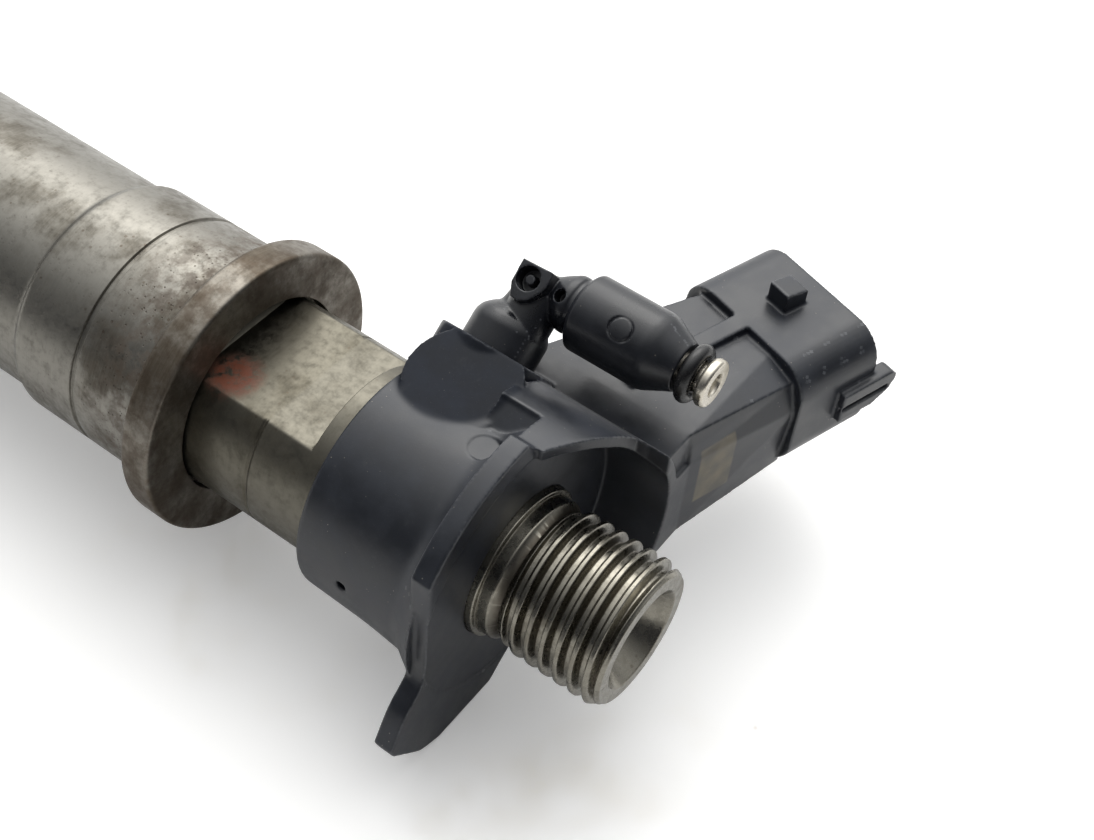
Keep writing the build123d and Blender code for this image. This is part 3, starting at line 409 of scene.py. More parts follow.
def steel(name, base, stain, stain_share, rough, rings, specks, seed=0.0):
    """Turned steel: fine rings round the axis, cloudy stains, dark specks and brown grime."""
    s = Shader(name)
    shift = (seed, seed * 1.7, seed * 0.6)
    turning = s.noise(6.0, 3.0, 0.6, (1.0, 0.06, 0.06), shift)
    cloud = s.noise(0.16, 6.0, 0.62, (1, 1, 1), shift)
    mottle = s.noise(1.1, 5.0, 0.7, (1, 1, 1), shift)
    fine = s.noise(9.0, 3.0, 0.6)
    stains = s.ramp(cloud, 0.62 - stain_share * 0.3, 0.82 - stain_share * 0.3)
    colour = s.mix(stains, base, stain)
    colour = s.mix(s.ramp(mottle, 0.45, 0.75, 0.0, 0.35), colour, [c * 0.62 for c in stain])
    dots = s.math("MULTIPLY", s.ramp(s.cells(0.9, shift), 0.10, 0.16, 1.0, 0.0), s.ramp(cloud, 0.42, 0.6))
    colour = s.mix(s.math("MULTIPLY", dots, specks), colour, GRIME)
    colour = s.mix(s.ramp(turning, 0.3, 0.7, 0.0, 0.16), colour, [min(1.0, c * 1.35) for c in base])
    roughness = s.math("ADD", s.ramp(mottle, 0.3, 0.7, rough - 0.07, rough + 0.10),
                       s.math("MULTIPLY", stains, 0.10))
    normal = s.bump(turning, 0.012, rings)
    normal = s.bump(fine, 0.006, 0.35, normal)
    return s, colour, roughness, normal


def metal(name, base, stain, stain_share, rough, rings, specks, seed):
    """The steel finish with nothing added; another base colour makes it copper or brass."""
    s, colour, roughness, normal = steel(name, base, stain, stain_share, rough, rings, specks, seed)
    return s.finish(colour, roughness, 1.0, normal)


def plain_steel(name, base, rough, seed):
    return metal(name, base, [c * 0.8 for c in base], 0.35, rough, 0.4, 0.1, seed)


def plastic(name, base=(0.0095, 0.0115, 0.0165), rough=0.36, seed=0.0, patch=None, dust=1.0, dull=None):
    """Moulded glass-filled plastic: fine grain, pale dust and scuffs, and convex edges painted lighter, partly
    as wear and partly as a painted edge highlight.

    patch adds a print to the colour, and dull is a (point, low, high) round which the surface shines less.
    """
    s = Shader(name)
    shift = (seed, seed * 0.7, seed * 1.3)
    grain = s.noise(7.0, 4.0, 0.65, (1, 1, 1), shift)
    cloud = s.noise(0.22, 5.0, 0.6, (1, 1, 1), shift)
    smear = s.noise(0.9, 5.0, 0.65, (1.0, 0.5, 1.6), shift)
    colour = s.mix(s.ramp(cloud, 0.35, 0.7), base, [c * 1.7 + 0.001 for c in base])
    colour = s.mix(s.ramp(smear, 0.55, 0.8, 0.0, 0.30), colour, (0.045, 0.047, 0.052))
    # convex edges, found by pointiness, painted lighter in patches: part wear, part painted highlight
    wear_and_edge_highlight = s.math("MULTIPLY", s.edges(0.515, 0.56), s.ramp(s.noise(1.6, 4.0, 0.6), 0.35, 0.65, 0.15, 0.8))
    colour = s.mix(wear_and_edge_highlight, colour, (0.10, 0.105, 0.115))
    dots = s.math("MULTIPLY", s.ramp(s.cells(1.35, shift), 0.05, 0.085, 1.0, 0.0), s.ramp(cloud, 0.48, 0.62))
    colour = s.mix(s.math("MULTIPLY", dots, 0.55 * dust), colour, (0.42, 0.38, 0.32))
    motes = s.ramp(s.cells(4.2, shift), 0.04, 0.08, 1.0, 0.0)
    colour = s.mix(s.math("MULTIPLY", motes, 0.22 * dust), colour, (0.35, 0.33, 0.30))
    if patch is not None:
        colour = patch(s, colour)
    roughness = s.math("ADD", s.ramp(cloud, 0.3, 0.7, rough - 0.05, rough + 0.08),
                       s.math("MULTIPLY", dots, 0.2))
    normal = s.bump(grain, 0.010, 0.6)
    normal = s.bump(s.noise(1.4, 3.0, 0.5), 0.02, 0.25, normal)
    shine = 0.55
    if dull is not None:
        faded = s.near(*dull)
        shine = s.ramp(faded, 0, 1, 0.55, 0.12)
        roughness = s.math("ADD", roughness, s.math("MULTIPLY", faded, 0.15))
    return s.finish(colour, roughness, 0.0, normal, Specular_IOR_Level=shine)


def rubber(name, rough=0.2):
    s = Shader(name)
    smear = s.noise(1.5, 4.0, 0.6)
    colour = s.mix(s.ramp(smear, 0.45, 0.75, 0, 0.4), (0.008, 0.008, 0.009), (0.03, 0.028, 0.025))
    normal = s.bump(s.noise(5.0, 3.0, 0.5), 0.006, 0.5)
    return s.finish(colour, s.ramp(smear, 0.3, 0.7, rough, rough + 0.15), 0.0, normal)


# ---------------------------------------------------------------- steel body
def body_shape(x, r, angles):
    """Helical thread on the inlet and the two flats on the neck, as a change of radius round the axis."""
    radii = np.full(len(angles), float(r))
    if NOSE_END + 0.05 < x < INLET_END - 0.02 and r > THREAD_DEEP_END:
        along = (x - (NOSE_END + 0.4)) / THREAD_PITCH - angles / TAU
        from_crest = np.abs((along + 0.5) % 1.0 - 0.5) * THREAD_PITCH
        rise = np.clip((0.55 - from_crest) / 0.41, 0, 1)
        rise = rise * rise * (3 - 2 * rise)
        crest = min(THREAD_CREST, THREAD_ROOT + max(0.0, (x - NOSE_END - 0.4)) * 0.56,
                    6.3 + (INLET_END - x) * 0.58)
        nick = 0.035 * np.sin(angles * 3 + x * 1.3) * np.sin(angles * 7 - x * 2.1)
        tall = THREAD_ROOT + (THREAD_CREST + nick - THREAD_ROOT) * rise
        radii = np.maximum(radii, np.minimum(tall, crest))
    ramp_end = FLATS_END + FLAT_RAMP / 2
    if -RECESS_DEPTH - 0.01 < x < ramp_end and abs(r - NECK_R) < 0.2:
        share = min(1.0, max(0.0, (ramp_end - x) / FLAT_RAMP))
        flat = FLAT_DISTANCE / np.maximum(np.abs(np.sin(angles)), 1e-6)
        blend = 0.10
        h = np.clip(0.5 + 0.5 * (flat - radii) / blend, 0, 1)
        cut = flat * (1 - h) + radii * h - blend * h * (1 - h)
        radii = radii * (1 - share) + cut * share
    return radii


def body_points():
    bore = rounded([
        (20.8, 0, 0), (22.0, 2.2, 0), (38.57, 2.2, 0.3), (INLET_END, 4.9, 0.12), (INLET_END, 6.3, 0.1),
        (INLET_END - 0.3, 6.45, 0)])
    core = [(x, THREAD_ROOT + max(0.0, 0.5 - abs(INLET_END - 0.35 - x)) * 0.9)
            for x in np.arange(INLET_END - 0.35, NOSE_END + 0.75, -0.05)]
    rest = rounded([
        (NOSE_END + 0.7, THREAD_ROOT, 0), (NOSE_END, NOSE_R, 0.12), (30.7, NOSE_R, 0.1),
        (30.7, SPIGOT_R, 0.15), (NECK_END, SPIGOT_R, 0), (NECK_END, NECK_R, 0.1), (13.2, NECK_R, 0),
        (FLATS_END + FLAT_RAMP, NECK_R, 0)])
    step = [(FLATS_END + FLAT_RAMP * (0.5 - k / 6), NECK_R) for k in range(7)]
    flats = [(x, NECK_R) for x in (12.2, 10.0, 7.55, 7.42)]
    mark = [(7.38, NECK_R - 0.08), (7.12, NECK_R - 0.08), (7.08, NECK_R)]
    low = rounded([
        (6.9, NECK_R, 0), (-RECESS_DEPTH, NECK_R, 0.02), (-RECESS_DEPTH, RECESS_R, 0.02),
        (0.0, RECESS_R, 0.12), (0.0, FLANGE_R, 0.38), (FLANGE_BACK, FLANGE_R, 0.45), (FLANGE_BACK, 12.9, 0.25),
        (FLANGE_BACK - 0.4, BARREL_R, 0.25), (-11.45, BARREL_R, 0.06), (-11.55, BARREL_R - 0.25, 0.05),
        (-12.05, BARREL_R - 0.25, 0.05), (-12.15, BARREL_R, 0.06), (BARREL_STEP + 0.7, BARREL_R, 0.5),
        (BARREL_STEP, LOWER_BARREL_R, 0.35), (-70.0, LOWER_BARREL_R, 0.8), (-73.0, SHANK_R, 0.8),
        (SHANK_END, SHANK_R, 0.05), (SHANK_END, NUT_THREAD_R, 0), (BODY_END, NUT_THREAD_R, 0.2),
        (BODY_END, 0, 0)])
    return bore + core + rest + step + flats + mark + low


def barrel_steel():
    s, colour, roughness, normal = steel(
        "barrel_steel", (0.225, 0.215, 0.190), (0.115, 0.104, 0.085), 0.55, 0.36, 0.6, 0.8)
    # rust and pits that gather on the barrel next to the flange
    band = s.ramp(s.math("ADD", s.axis(0), s.ramp(s.noise(0.35, 5.0, 0.7), 0, 1, -4.0, 4.0)), -13.0, -5.0)
    rust = s.math("MULTIPLY", band, s.ramp(s.noise(0.7, 6.0, 0.72, (1, 1, 1), (5, 5, 5)), 0.40, 0.62))
    colour = s.mix(s.math("MULTIPLY", rust, 0.62), colour, (0.085, 0.058, 0.038))
    pits = s.math("MULTIPLY", s.ramp(s.cells(1.7, (2, 7, 1)), 0.12, 0.2, 1.0, 0.0), s.math("ADD", band, 0.25))
    colour = s.mix(s.math("MULTIPLY", pits, 0.6), colour, (0.05, 0.036, 0.026))
    normal = s.bump(s.math("MULTIPLY", pits, -1.0), 0.03, 0.6, normal)
    roughness = s.math("ADD", roughness, s.math("MULTIPLY", rust, 0.2))
    return s.finish(colour, roughness, s.ramp(rust, 0, 1, 1.0, 0.55), normal)


def flange_steel():
    s, colour, roughness, normal = steel(
        "flange_steel", (0.215, 0.198, 0.17), (0.095, 0.077, 0.056), 0.75, 0.42, 0.3, 0.9, 7.0)
    film = s.ramp(s.noise(0.5, 6.0, 0.7, (1, 1, 1), (3, 9, 4)), 0.38, 0.62)
    colour = s.mix(s.math("MULTIPLY", film, 0.6), colour, (0.07, 0.05, 0.034))
    return s.finish(colour, roughness, 0.9, normal)


def neck_steel():
    s, colour, roughness, normal = steel(
        "neck_steel", (0.130, 0.121, 0.097), (0.098, 0.089, 0.068), 0.5, 0.38, 0.25, 0.4, 13.0)
    # one red rust spot on the upper flat, and a brighter band beyond the turned mark
    rust = s.math("MULTIPLY", s.near((1.4, -4.4, 7.5), 1.2, 3.4),
                  s.ramp(s.noise(0.8, 5.0, 0.7), 0.35, 0.55))
    colour = s.mix(s.math("MULTIPLY", rust, 0.85), colour, (0.20, 0.05, 0.022))
    band = s.math("MULTIPLY", s.ramp(s.axis(0), 7.2, 7.6), 0.25)
    colour = s.mix(band, colour, (0.165, 0.157, 0.135))
    return s.finish(colour, roughness, s.ramp(rust, 0, 1, 1.0, 0.2), normal)


def thread_steel():
    s, colour, roughness, normal = steel(
        "thread_steel", (0.235, 0.222, 0.188), (0.14, 0.125, 0.098), 0.4, 0.26, 0.2, 0.5, 21.0)
    # painted shade: the thread roots, found by low pointiness, are darkened towards brown-black
    root_shade = s.edges(0.495, 0.44)
    colour = s.mix(s.math("MULTIPLY", root_shade, 0.75), colour, (0.045, 0.034, 0.024))
    return s.finish(colour, s.math("ADD", roughness, s.math("MULTIPLY", root_shade, 0.2)), 1.0, normal)


def body_materials(body):
    """Barrel, flange, neck and thread take their own finish, by the place of each face."""
    for material in (barrel_steel(), flange_steel(), neck_steel(), thread_steel()):
        body.data.materials.append(material)
    count = len(body.data.polygons)
    centres = np.zeros(count * 3)
    body.data.polygons.foreach_get("center", centres)
    centres = centres.reshape(-1, 3) / MM
    x, r = centres[:, 0], np.hypot(centres[:, 1], centres[:, 2])
    index = np.zeros(count, int)
    index[(x > -3.6) & (r > 10.0)] = 1
    index[(x > -1.4) & (r <= 10.05)] = 2
    index[x > NECK_END] = 3
    body.data.polygons.foreach_set("material_index", index)


# ---------------------------------------------------------------- plastic head
ARC_STEP = 2.0


def arc_points(radius, first, last, x):
    """Points on a circle about the axis, angles in degrees from +Z towards +Y."""
    count = max(2, int(abs(last - first) / ARC_STEP))
    turns = [math.radians(first + (last - first) * k / count) for k in range(count + 1)]
    return [(x, radius * math.sin(t), radius * math.cos(t)) for t in turns]


def curve_through(points, count=8):
    """Catmull-Rom points through corners."""
    p = [np.array(q, float) for q in points]
    p = [2 * p[0] - p[1]] + p + [2 * p[-1] - p[-2]]
    made = []
    for i in range(1, len(p) - 2):
        for k in range(count):
            t = k / count
            made.append(0.5 * (2 * p[i] + (p[i + 1] - p[i - 1]) * t
                               + (2 * p[i - 1] - 5 * p[i] + 4 * p[i + 1] - p[i + 2]) * t * t
                               + (3 * p[i] - p[i - 1] - 3 * p[i + 1] + p[i + 2]) * t**3))
    made.append(p[-2])
    return made


def plate_loop(x):
    tongue = curve_through([(-12.55, 1.5), (-12.9, -3.2), (-15.5, -6.2), (-17.4, -9.5)])
    tongue_end = curve_through([(-17.0, -10.6), (-13.9, -14.1), (-12.9, -14.9), (-10.8, -15.8)], 4)
    lower = curve_through([(-3.1, -15.8), (0.5, -13.0), (8.0, -10.5), (12.5, -7.3)])
    loop = arc_points(PLATE_R, 0, -52.8, x)
    loop += [(x, y, z) for y, z in tongue]
    loop += [(x, y, z) for y, z in tongue_end]
    loop += [(x, y, z) for y, z in lower]
    loop += [(x, 12.5, 7.3)]
    loop += arc_points(CUP_R, 59.9, 3.8, x)
    return loop


def sector(name, x_low, x_high, first, last):
    loop = [(x_low, 0, 0)] + arc_points(CUP_R, first, last, x_low)
    return prism(name, loop, (x_high - x_low, 0, 0))


def shell_loop(distance, inset=0.0):
    radius = SHELL["corner"] - inset
    left, right = SHELL["left"] + inset, SHELL["right"] - inset
    top, bottom = SHELL["top"] - inset, SHELL["bottom"] + inset
    loop = []
    for cx, cz, start in ((right - radius, top - radius, 0), (left + radius, top - radius, 90),
                          (left + radius, bottom + radius, 180), (right - radius, bottom + radius, 270)):
        for k in range(13):
            t = math.radians(start + 90 * k / 12)
            loop.append(plug_point(cx + radius * math.cos(t), distance, cz + radius * math.sin(t)))
    return loop


def beside(name, across, width, points):
    """A prism along the plug: (distance, height) points, from across towards the front side."""
    return prism(name, [plug_point(across, d, h) for d, h in points], PLUG_SIDE * width)


def make_head():
    collar = revolve("collar", [(COLLAR_BACK, 0)] + rounded([
        (COLLAR_BACK, 9.0, 0), (COLLAR_BACK, 11.7, 0.35), (22.0, 11.85, 2.0), (26.25, 12.2, 1.5),
        (27.65, 13.1, 0.6), (28.75, 13.7, 0), (28.75, 9, 0)]) + [(28.75, 0)], 256)
    foot = [(19.9 + 5.3 * math.cos(t), 4.6 + 5.3 * math.sin(t), 9.5) for t in np.arange(96) * TAU / 96]
    skirt = prism("skirt", foot, (0, 0, 4))
    slope = [(11.0, y, z) for y, z in ((-6.0, 9.0), (-6.0, 10.64), (8.6, 13.23), (8.6, 9.0))]
    carve(skirt, [prism("slope", slope, (18, 0, 0))], "INTERSECT")
    near = [(19.6, 16.3, -6.8), (37, 16.3, -6.8), (37, 16.3, 3.1),
            (36.8, 16.3, 5.0), (36.5, 16.3, 6.8), (19.6, 16.3, 6.8)]
    far = [plug_point(e, SHELL["back"] + 0.5, z)
           for e, z in ((16.2, -6.0), (29.7, -6.0), (30.4, 2.2), (29.4, 5.3), (25.8, 6.2), (16.2, 5.9))]
    parts = [
        collar, skirt,
        rod("boss", boss_point(BOSS_X, 8.0), BOSS_OUT, BOSS_R, BOSS_TOP - 8.0, 160),
        prism("plate", plate_loop(PLATE_BACK), (PLATE_FRONT - PLATE_BACK, 0, 0)),
        sector("cup", PLATE_BACK, CUP_FRONT, 3.9, 125.0),
        sector("cup_back", 24.05, PLATE_BACK + 1, 18.2, 125.0),
        prism("cup_web", [(24.05, y, z) for y, z in ((4.75, 13.66), (1.2, 11.2), (6.0, 9.5), (8.0, 11.0))],
              (PLATE_BACK - 23.5, 0, 0)),
        block("arm_low", (19.6, 8.0, -6.8), (CUP_FRONT, 16.3, 3.1)),
        block("arm_high", (19.6, 8.0, 3.1), (36.5, 16.3, 6.8)),
        between("arm", near, far),
        prism("shell", shell_loop(SHELL["back"]), PLUG_OUT * (SHELL["front"] - SHELL["back"])),
        beside("nose", 20.7, 2.6, [(43.5, 6.0), (43.5, 9.2), (46.3, 8.7), (46.3, 6.0)]),
        beside("rib", 20.7, 2.0, [(24.0, 3.0), (24.0, 6.2), (26.0, 7.0), (40.5, 7.0), (40.5, 3.0)]),
        beside("web", 14.1, 2.6, [(36.7, -2.0), (36.7, 3.2), (40.5, 3.6), (40.5, -2.0)]),
        beside("guide", 30.2, 1.7, [
            (44.8, -1.3), (49.4, -1.3), (51.2, -0.3), (51.9, 0.9), (51.9, 1.6), (51.2, 2.3), (44.8, 2.3)]),
    ]
    head = remeshed(join("head", parts), 0.13, 0)
    rim = [(-1.0, CUP_FRONT + 1), (-1.0, PLATE_FRONT), (0.9, PLATE_FRONT + 0.6), (4.3, 32.4), (7.2, 33.5),
           (9.3, 33.95), (10.6, 34.2), (11.3, 35.2), (12.0, CUP_FRONT), (12.0, CUP_FRONT + 1)]
    cutters = [
        prism("rim", [(x, y, 0) for y, x in rim], (0, 0, CUP_R + 2)),
        rod("pocket", (CUP_FLOOR, 0, 0), AXIS_X, CUP_INNER_R, 10, 256),
        beside("slot", 31.35, 1.0, [(44.9, 0.1), (51.0, 0.1), (51.0, 0.7), (44.9, 0.7)]),
        prism("socket", shell_loop(41.0, 1.4), PLUG_OUT * 12),
        rod("vent", (25.8, 0, 11.95), UP, 1.45, 3),
        rod("gate", (20.0, -10.9, 0), (0, -1, 0), 0.5, 3),
        rod("well", boss_point(BOSS_X, 10.4), BOSS_OUT, 3.76, 8),
        rod("neck", (0, 0, 0), AXIS_X, NECK_R + 0.04, NECK_END, 256),
        rod("spigot", (22.0, 0, 0), AXIS_X, SPIGOT_R + 0.03, 12.0, 256),
    ]
    carve(head, cutters)
    return remeshed(head, 0.13, 4)


def code_patch(s, colour):
    """A blank, rubbed patch of yellowish ink on the front of the arm."""
    n = s.tree.nodes.new("ShaderNodeVectorMath")
    n.operation = "ABSOLUTE"
    s.feed(n.inputs[0], s.vector("SUBTRACT", s.place, (38.0, 19.7, 0.2)))
    split = s.tree.nodes.new("ShaderNodeSeparateXYZ")
    s.feed(split.inputs[0], n.outputs[0])
    inside = s.math("MULTIPLY", s.ramp(split.outputs[1], 1.9, 2.2, 1, 0),
                    s.ramp(split.outputs[2], 3.4, 3.8, 1, 0))
    inside = s.math("MULTIPLY", inside, s.ramp(split.outputs[0], 1.6, 1.9, 1, 0))
    rubbed = s.ramp(s.noise(0.45, 2.0, 0.4), 0.2, 0.8, 0.35, 1.0)
    return s.mix(s.math("MULTIPLY", s.math("MULTIPLY", inside, rubbed), 0.55), colour, (0.30, 0.245, 0.135))


# ---------------------------------------------------------------- return elbow
def nipple(name, points, count=160):
    return revolve(name, points, count, None, boss_point(0, NIPPLE_HEIGHT), AXIS_X)


def lug_loop(side):
    outline = [(2.4, 1.35), (-0.75, 1.25), (-0.7, -1.0), (-0.1, -2.2), (0.7, -2.3)]
    outline += curve_through([(0.7, -2.3), (1.62, -1.72), (2.3, -0.6), (2.5, 0.2)], 5)[1:]
    return [boss_point(BOSS_X + a, NIPPLE_HEIGHT + b, side) for a, b in outline]


def make_elbow():
    parts = [
        revolve("column", [(10.6, 0)] + rounded([
            (10.6, 3.3, 0), (11.0, 3.7, 0), (17.2, 3.7, 0.8), (18.0, 3.35, 0.4), (18.6, 2.7, 0.4),
            (19.0, 2.1, 0.3), (20.2, 1.85, 0.5), (21.9, 1.75, 0.5), (22.7, 1.2, 0)]) + [(22.7, 0)], 128, None,
            AXIS_X * BOSS_X, BOSS_OUT),
        revolve("link", [(18.5, 0)] + rounded([
            (18.5, 1.5, 0), (20.3, 1.5, 0.4), (21.3, 2.15, 0.6), (22.4, 2.75, 0.5), (23.0, 2.75, 0.15),
            (23.15, 2.6, 0), (23.8, 2.6, 0)]) + [(23.8, 0)], 128, None,
            boss_point(0, NIPPLE_HEIGHT, -0.5), AXIS_X),
        nipple("barrel", [(23.6, 0)] + rounded([
            (23.6, 3.2, 0), (23.95, NIPPLE_R, 0.2), (31.2, NIPPLE_R, 0.5), (31.8, 3.53, 0.3),
            (33.8, 2.55, 0.5), (34.3, 2.35, 0.15), (34.3, 1.5, 0)]) + [(34.3, 0)]),
        prism("lug", lug_loop(-3.9), BOSS_SIDE * 5.4),
        rod("root", boss_point(BOSS_X + 1.1, 16.0, -0.5), BOSS_OUT, 2.45, NIPPLE_HEIGHT - 16.6),
    ]
    elbow = remeshed(join("elbow", parts), 0.075, 0)
    cutters = [
        rod("pocket", boss_point(BOSS_X + 0.6, NIPPLE_HEIGHT - 0.1, -2.2), -BOSS_SIDE, 1.15, 3),
        rod("vent", boss_point(22.1, NIPPLE_HEIGHT, -1.2), -BOSS_SIDE, 0.62, 3),
        rod("bore", boss_point(28.0, NIPPLE_HEIGHT), AXIS_X, 1.4, 10),
    ]
    ring = rod("ring", boss_point(28.7, NIPPLE_HEIGHT, -3.48), -BOSS_SIDE, 1.2, 2)
    carve(ring, [rod("ring_inner", boss_point(28.7, NIPPLE_HEIGHT, -3.0), -BOSS_SIDE, 0.98, 4)])
    carve(elbow, cutters + [ring])
    pin = rod("pin", boss_point(BOSS_X + 0.6, NIPPLE_HEIGHT - 0.1, -2.0), -BOSS_SIDE, 0.45, 1.4)
    carve(elbow, [pin], "UNION")
    return remeshed(elbow, 0.075, 3)


def torus(name, origin, axis, mean, wire):
    points = [(wire * math.sin(t), mean + wire * math.cos(t)) for t in np.arange(32) * TAU / 32]
    return revolve(name, points, 128, None, Vector(origin), Vector(axis))


# ---------------------------------------------------------------- nut, washer and nozzle
def nut_shape(x, r, angles):
    """The six spanner flats of the retaining nut."""
    radii = np.full(len(angles), float(r))
    low, high = HEX_FRONT - FLAT_RAMP / 2, HEX_BACK + FLAT_RAMP / 2
    if low < x < high and r > 9.3:
        share = min(1.0, max(0.0, min(x - low, high - x) / FLAT_RAMP))
        turn = (angles - math.pi / 2 + math.pi / 6) % (math.pi / 3) - math.pi / 6
        radii = radii * (1 - share) + np.minimum(radii, HEX_HALF / np.cos(turn)) * share
    return radii


def make_nut():
    points = rounded([(SHANK_END, NUT_THREAD_R + 0.02, 0), (SHANK_END, 9.35, 0.05),
                      (SHANK_END - 0.4, SHANK_R, 0.2), (HEX_BACK + 0.5, SHANK_R, 0)])
    points += [(HEX_BACK + 0.1 - 0.04 * k, SHANK_R) for k in range(6)]
    points += [(HEX_BACK - 1, SHANK_R), (HEX_FRONT + 1, SHANK_R)]
    points += [(HEX_FRONT + 0.1 - 0.04 * k, SHANK_R) for k in range(6)]
    points += rounded([
        (HEX_FRONT - 0.5, SHANK_R, 0), (-122.0, SHANK_R, 0.8), (-126.0, NUT_FACE_R, 0.5),
        (NUT_FACE, NUT_FACE_R, 0.2), (NUT_FACE, WASHER_HOLE_R, 0), (-119.0, WASHER_HOLE_R, 0),
        (-119.0, NOZZLE_GUIDE_R + 0.05, 0), (-88.5, NOZZLE_GUIDE_R + 0.05, 0),
        (-88.5, NUT_THREAD_R + 0.02, 0)])
    return revolve("nut", points, 360, nut_shape)


def make_nozzle():
    tip = [(-144.7 - 2.3 * math.sin(t) ** 1.3, 1.62 * math.cos(t) ** 0.85)
           for t in np.linspace(0.12, 1.5, 12)]
    points = [(-98.5, 0)] + rounded([
        (-98.5, 7.4, 0), (-98.7, NOZZLE_GUIDE_R, 0.1), (-117.8, NOZZLE_GUIDE_R, 0.1), (-119.0, 6.5, 0.1),
        (-119.0, NOZZLE_RELIEF_R, 0.05), (-130.0, NOZZLE_RELIEF_R, 0), (-130.0, NOZZLE_R, 0.05),
        (-142.0, NOZZLE_R, 0.35), (-144.7, 1.62, 0)]) + tip + [(NOZZLE_END, 0)]
    nozzle = revolve("nozzle", points, 192)
    holes = []
    for number in range(SPRAY_HOLES):
        angle = TAU / SPRAY_HOLES * number
        holes.append(rod("hole", (-145.2, 0, 0), (-0.32, math.sin(angle), math.cos(angle)), 0.11, 3, 24))
    return carve(nozzle, holes)


def nozzle_steel():
    """Ground steel, blackened with soot towards the tip."""
    s, colour, roughness, normal = steel(
        "nozzle_steel", (0.38, 0.365, 0.34), (0.20, 0.18, 0.16), 0.5, 0.36, 0.3, 0.5, 41.0)
    wavy = s.math("ADD", s.axis(0), s.ramp(s.noise(0.9), 0, 1, -3.0, 3.0))
    soot = s.ramp(wavy, -143.0, -136.0, 0.85, 0.0)
    colour = s.mix(soot, colour, (0.035, 0.028, 0.022))
    return s.finish(colour, roughness, s.ramp(soot, 0, 1, 1.0, 0.35), normal)


# ---------------------------------------------------------------- build the visible pieces
body = revolve("body", body_points(), 512, body_shape)
body_materials(body)
piece(body, "steel_body", "injector", "injector_body")

head = make_head()
head.data.materials.clear()
head.data.materials.append(plastic("head_plastic", patch=code_patch, dull=((19.0, 5.5, 13.6), 5.4, 6.6)))
piece(head, "plastic_head", "injector", "connector_housing")

elbow = make_elbow()
elbow.data.materials.clear()
elbow.data.materials.append(plastic("elbow_plastic", (0.008, 0.009, 0.012), 0.30, 5.0))
piece(elbow, "elbow", "injector", "return_elbow")

tip = nipple("tip", rounded([
    (28.0, 1.0, 0), (28.0, 1.4, 0), (36.3, 1.4, 0.05), (36.45, 2.1, 0.05), (36.75, 2.28, 0.1),
    (37.25, 2.28, 0.1), (37.45, 2.1, 0.1), (37.45, 1.15, 0.1), (37.15, 1.0, 0)]), 128)
tip.data.materials.append(metal(
    "tip_steel", (0.62, 0.58, 0.50), (0.42, 0.38, 0.30), 0.4, 0.28, 0.3, 0.3, 3.0))
piece(tip, "tip_tube", "injector", "return_tip")

for name, node, origin, axis, mean, wire in (
    ("tip_ring", "return_tip_seal", boss_point(35.3, NIPPLE_HEIGHT), AXIS_X, 2.1, 0.7),
    ("boss_ring", "return_boss_seal", boss_point(BOSS_X, 12.2), BOSS_OUT, 3.1, 0.64),
):
    ring = torus(name, origin, axis, mean, wire)
    ring.data.materials.append(rubber(name + "_rubber"))
    piece(ring, name, "injector", node)

nut = make_nut()
nut.data.materials.append(metal(
    "nut_steel", (0.36, 0.345, 0.32), (0.20, 0.18, 0.155), 0.6, 0.40, 0.5, 0.8, 31.0))
piece(nut, "retaining_nut", "injector", "nozzle_nut")

nozzle = make_nozzle()
nozzle.data.materials.clear()
nozzle.data.materials.append(nozzle_steel())
piece(nozzle, "nozzle", "injector", "nozzle_body")

washer = revolve("washer", rounded([
    (NUT_FACE, WASHER_HOLE_R, 0), (NUT_FACE, NUT_FACE_R, 0.15), (WASHER_FACE, NUT_FACE_R, 0.2),
    (WASHER_FACE, WASHER_HOLE_R, 0.15)]), 192)
washer.data.materials.append(metal(
    "washer_copper", (0.62, 0.31, 0.19), (0.30, 0.15, 0.09), 0.5, 0.34, 0.2, 0.5, 51.0))
piece(washer, "copper_washer", "injector", "sealing_washer")


# ---------------------------------------------------------------- materials of the CAD nodes that stay
def brass(name):
    return plain_steel(name, (0.70, 0.60, 0.40), 0.26, 61.0)


INNER = {
    "terminal_pins": brass("pin_plating"),
    "contact_leads": plain_steel("lead_copper", (0.62, 0.40, 0.24), 0.35, 63.0),
    "lead_seals": rubber("lead_rubber", rough=0.45),
    "inlet_filter": plain_steel("filter_steel", (0.34, 0.33, 0.31), 0.38, 65.0),
    "piezo_stack": plastic("piezo_ceramic", (0.30, 0.20, 0.11), 0.5, 67.0, dust=0.2),
    "actuator_seal": rubber("actuator_rubber", rough=0.4),
}
ground = plain_steel("ground_steel", (0.58, 0.57, 0.55), 0.24, 71.0)
wire = plain_steel("wire_steel", (0.40, 0.40, 0.42), 0.34, 73.0)
turned = plain_steel("turned_steel", (0.50, 0.49, 0.47), 0.34, 75.0)
for name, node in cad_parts.items():
    if node.hide_render:
        continue
    if name in INNER:
        material = INNER[name]
    elif name.endswith("spring"):
        material = wire
    elif name.endswith(("piston", "needle", "bolt", "pins", "shim")):
        material = ground
    else:
        material = turned
    node.data.materials.clear()
    node.data.materials.append(material)


# ---------------------------------------------------------------- table, light and camera
bpy.ops.mesh.primitive_plane_add(size=3.0, location=(0, 0, FLOOR_Z * MM))
floor = bpy.context.object
floor.name = "table_top"
s = Shader("table_white")
dirt = s.ramp(s.noise(0.035, 8.0, 0.7), 0.54, 0.72, 0.0, 0.42)
specks = s.math("MULTIPLY", s.ramp(s.cells(0.10, (5, 2, 0)), 0.012, 0.05, 1, 0), 0.5)
scratch = s.ramp(s.noise(0.5, 3.0, 0.5, (0.06, 1.0, 1.0)), 0.66, 0.72, 0.0, 0.06)
colour = s.mix(dirt, (0.93, 0.925, 0.915), (0.70, 0.66, 0.58))
colour = s.mix(specks, colour, (0.45, 0.40, 0.35))
colour = s.mix(scratch, colour, (0.6, 0.58, 0.56))
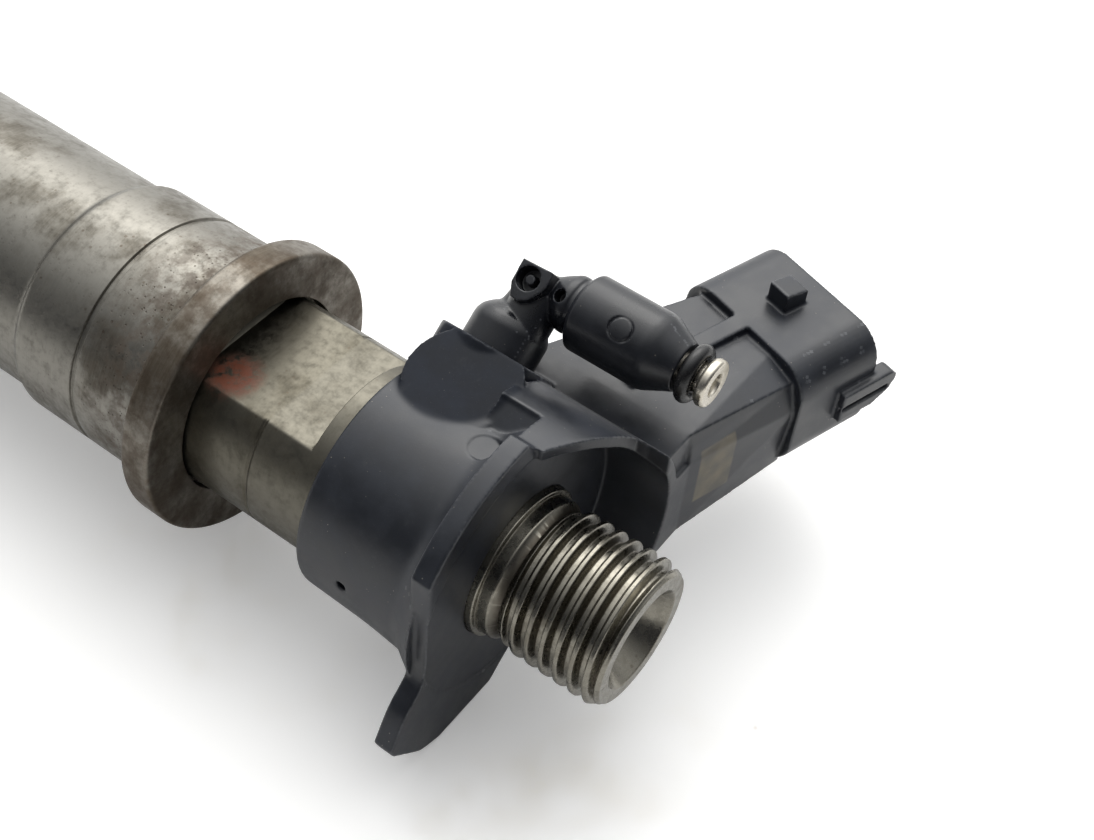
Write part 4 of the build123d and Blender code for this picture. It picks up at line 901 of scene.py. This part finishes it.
# the glow is only seen directly, so it washes out the table without lighting the part from below
glow = s.math("MULTIPLY", s.tree.nodes.new("ShaderNodeLightPath").outputs["Is Camera Ray"], 0.26)
floor.data.materials.append(s.finish(colour, 0.5, 0.0, s.bump(s.noise(0.6), 0.02, 0.3),
                                     Emission_Color=colour, Emission_Strength=glow))

world = bpy.data.worlds.new("studio")
bpy.context.scene.world = world
world.use_nodes = True
# the room: bright overhead and towards the far left, dark low down and on the camera's side
sky = world.node_tree
place = sky.nodes.new("ShaderNodeTexCoord")
toward = sky.nodes.new("ShaderNodeVectorMath")
toward.operation = "DOT_PRODUCT"
sky.links.new(place.outputs["Generated"], toward.inputs[0])
toward.inputs[1].default_value = Vector((-0.35, 0.50, 0.79)).normalized()
level = sky.nodes.new("ShaderNodeValToRGB")
level.color_ramp.interpolation = "LINEAR"
sky.links.new(toward.outputs["Value"], level.inputs[0])
level.color_ramp.elements[0].position = 0.0
level.color_ramp.elements[0].color = (0.08, 0.082, 0.09, 1)
level.color_ramp.elements[1].position = 0.95
level.color_ramp.elements[1].color = (2.3, 2.3, 2.28, 1)
for position, bright in ((0.35, 0.36), (0.62, 0.95)):
    stop = level.color_ramp.elements.new(position)
    stop.color = (bright * 0.97, bright * 0.985, bright, 1)
seen = sky.nodes.new("ShaderNodeLightPath")
choice = sky.nodes.new("ShaderNodeMix")
choice.data_type = "RGBA"
sky.links.new(seen.outputs["Is Camera Ray"], choice.inputs["Factor"])
sky.links.new(level.outputs["Color"], choice.inputs[6])
choice.inputs[7].default_value = (0.86, 0.87, 0.88, 1)
sky.links.new(choice.outputs[2], sky.nodes["Background"].inputs[0])
sky.nodes["Background"].inputs[1].default_value = 1.0


def lamp(name, place, aim, size, power, colour):
    data = bpy.data.lights.new(name, "AREA")
    data.shape = "RECTANGLE"
    data.size, data.size_y = size[0] * MM, size[1] * MM
    data.energy = power
    data.color = colour
    obj = bpy.data.objects.new(name, data)
    bpy.context.scene.collection.objects.link(obj)
    obj.location = Vector(place) * MM
    obj.rotation_mode = "QUATERNION"
    obj.rotation_quaternion = (Vector(aim) - Vector(place)).to_track_quat("-Z", "Y")


lamp("key", (-190, 300, 420), (10, 0, 0), (420, 340), 0.9, (1.0, 0.985, 0.96))

CAMERA = Vector((74.30, -68.69, 113.21))
right = Vector((0.8039, 0.5912, 0.0674))
forward = Vector((-0.3457, 0.5561, -0.7558)).normalized()
right = (right - forward * right.dot(forward)).normalized()
above = right.cross(forward)
data = bpy.data.cameras.new("camera")
data.sensor_width = 36.0
data.lens = 1594.92 / 1094 * data.sensor_width
data.clip_start, data.clip_end = 0.005, 5.0
camera = bpy.data.objects.new("camera", data)
bpy.context.scene.collection.objects.link(camera)
camera.matrix_world = Matrix((
    (right.x, above.x, -forward.x, CAMERA.x * MM),
    (right.y, above.y, -forward.y, CAMERA.y * MM),
    (right.z, above.z, -forward.z, CAMERA.z * MM),
    (0, 0, 0, 1),
))
bpy.context.scene.camera = camera
bpy.context.scene.view_settings.view_transform = "Standard"
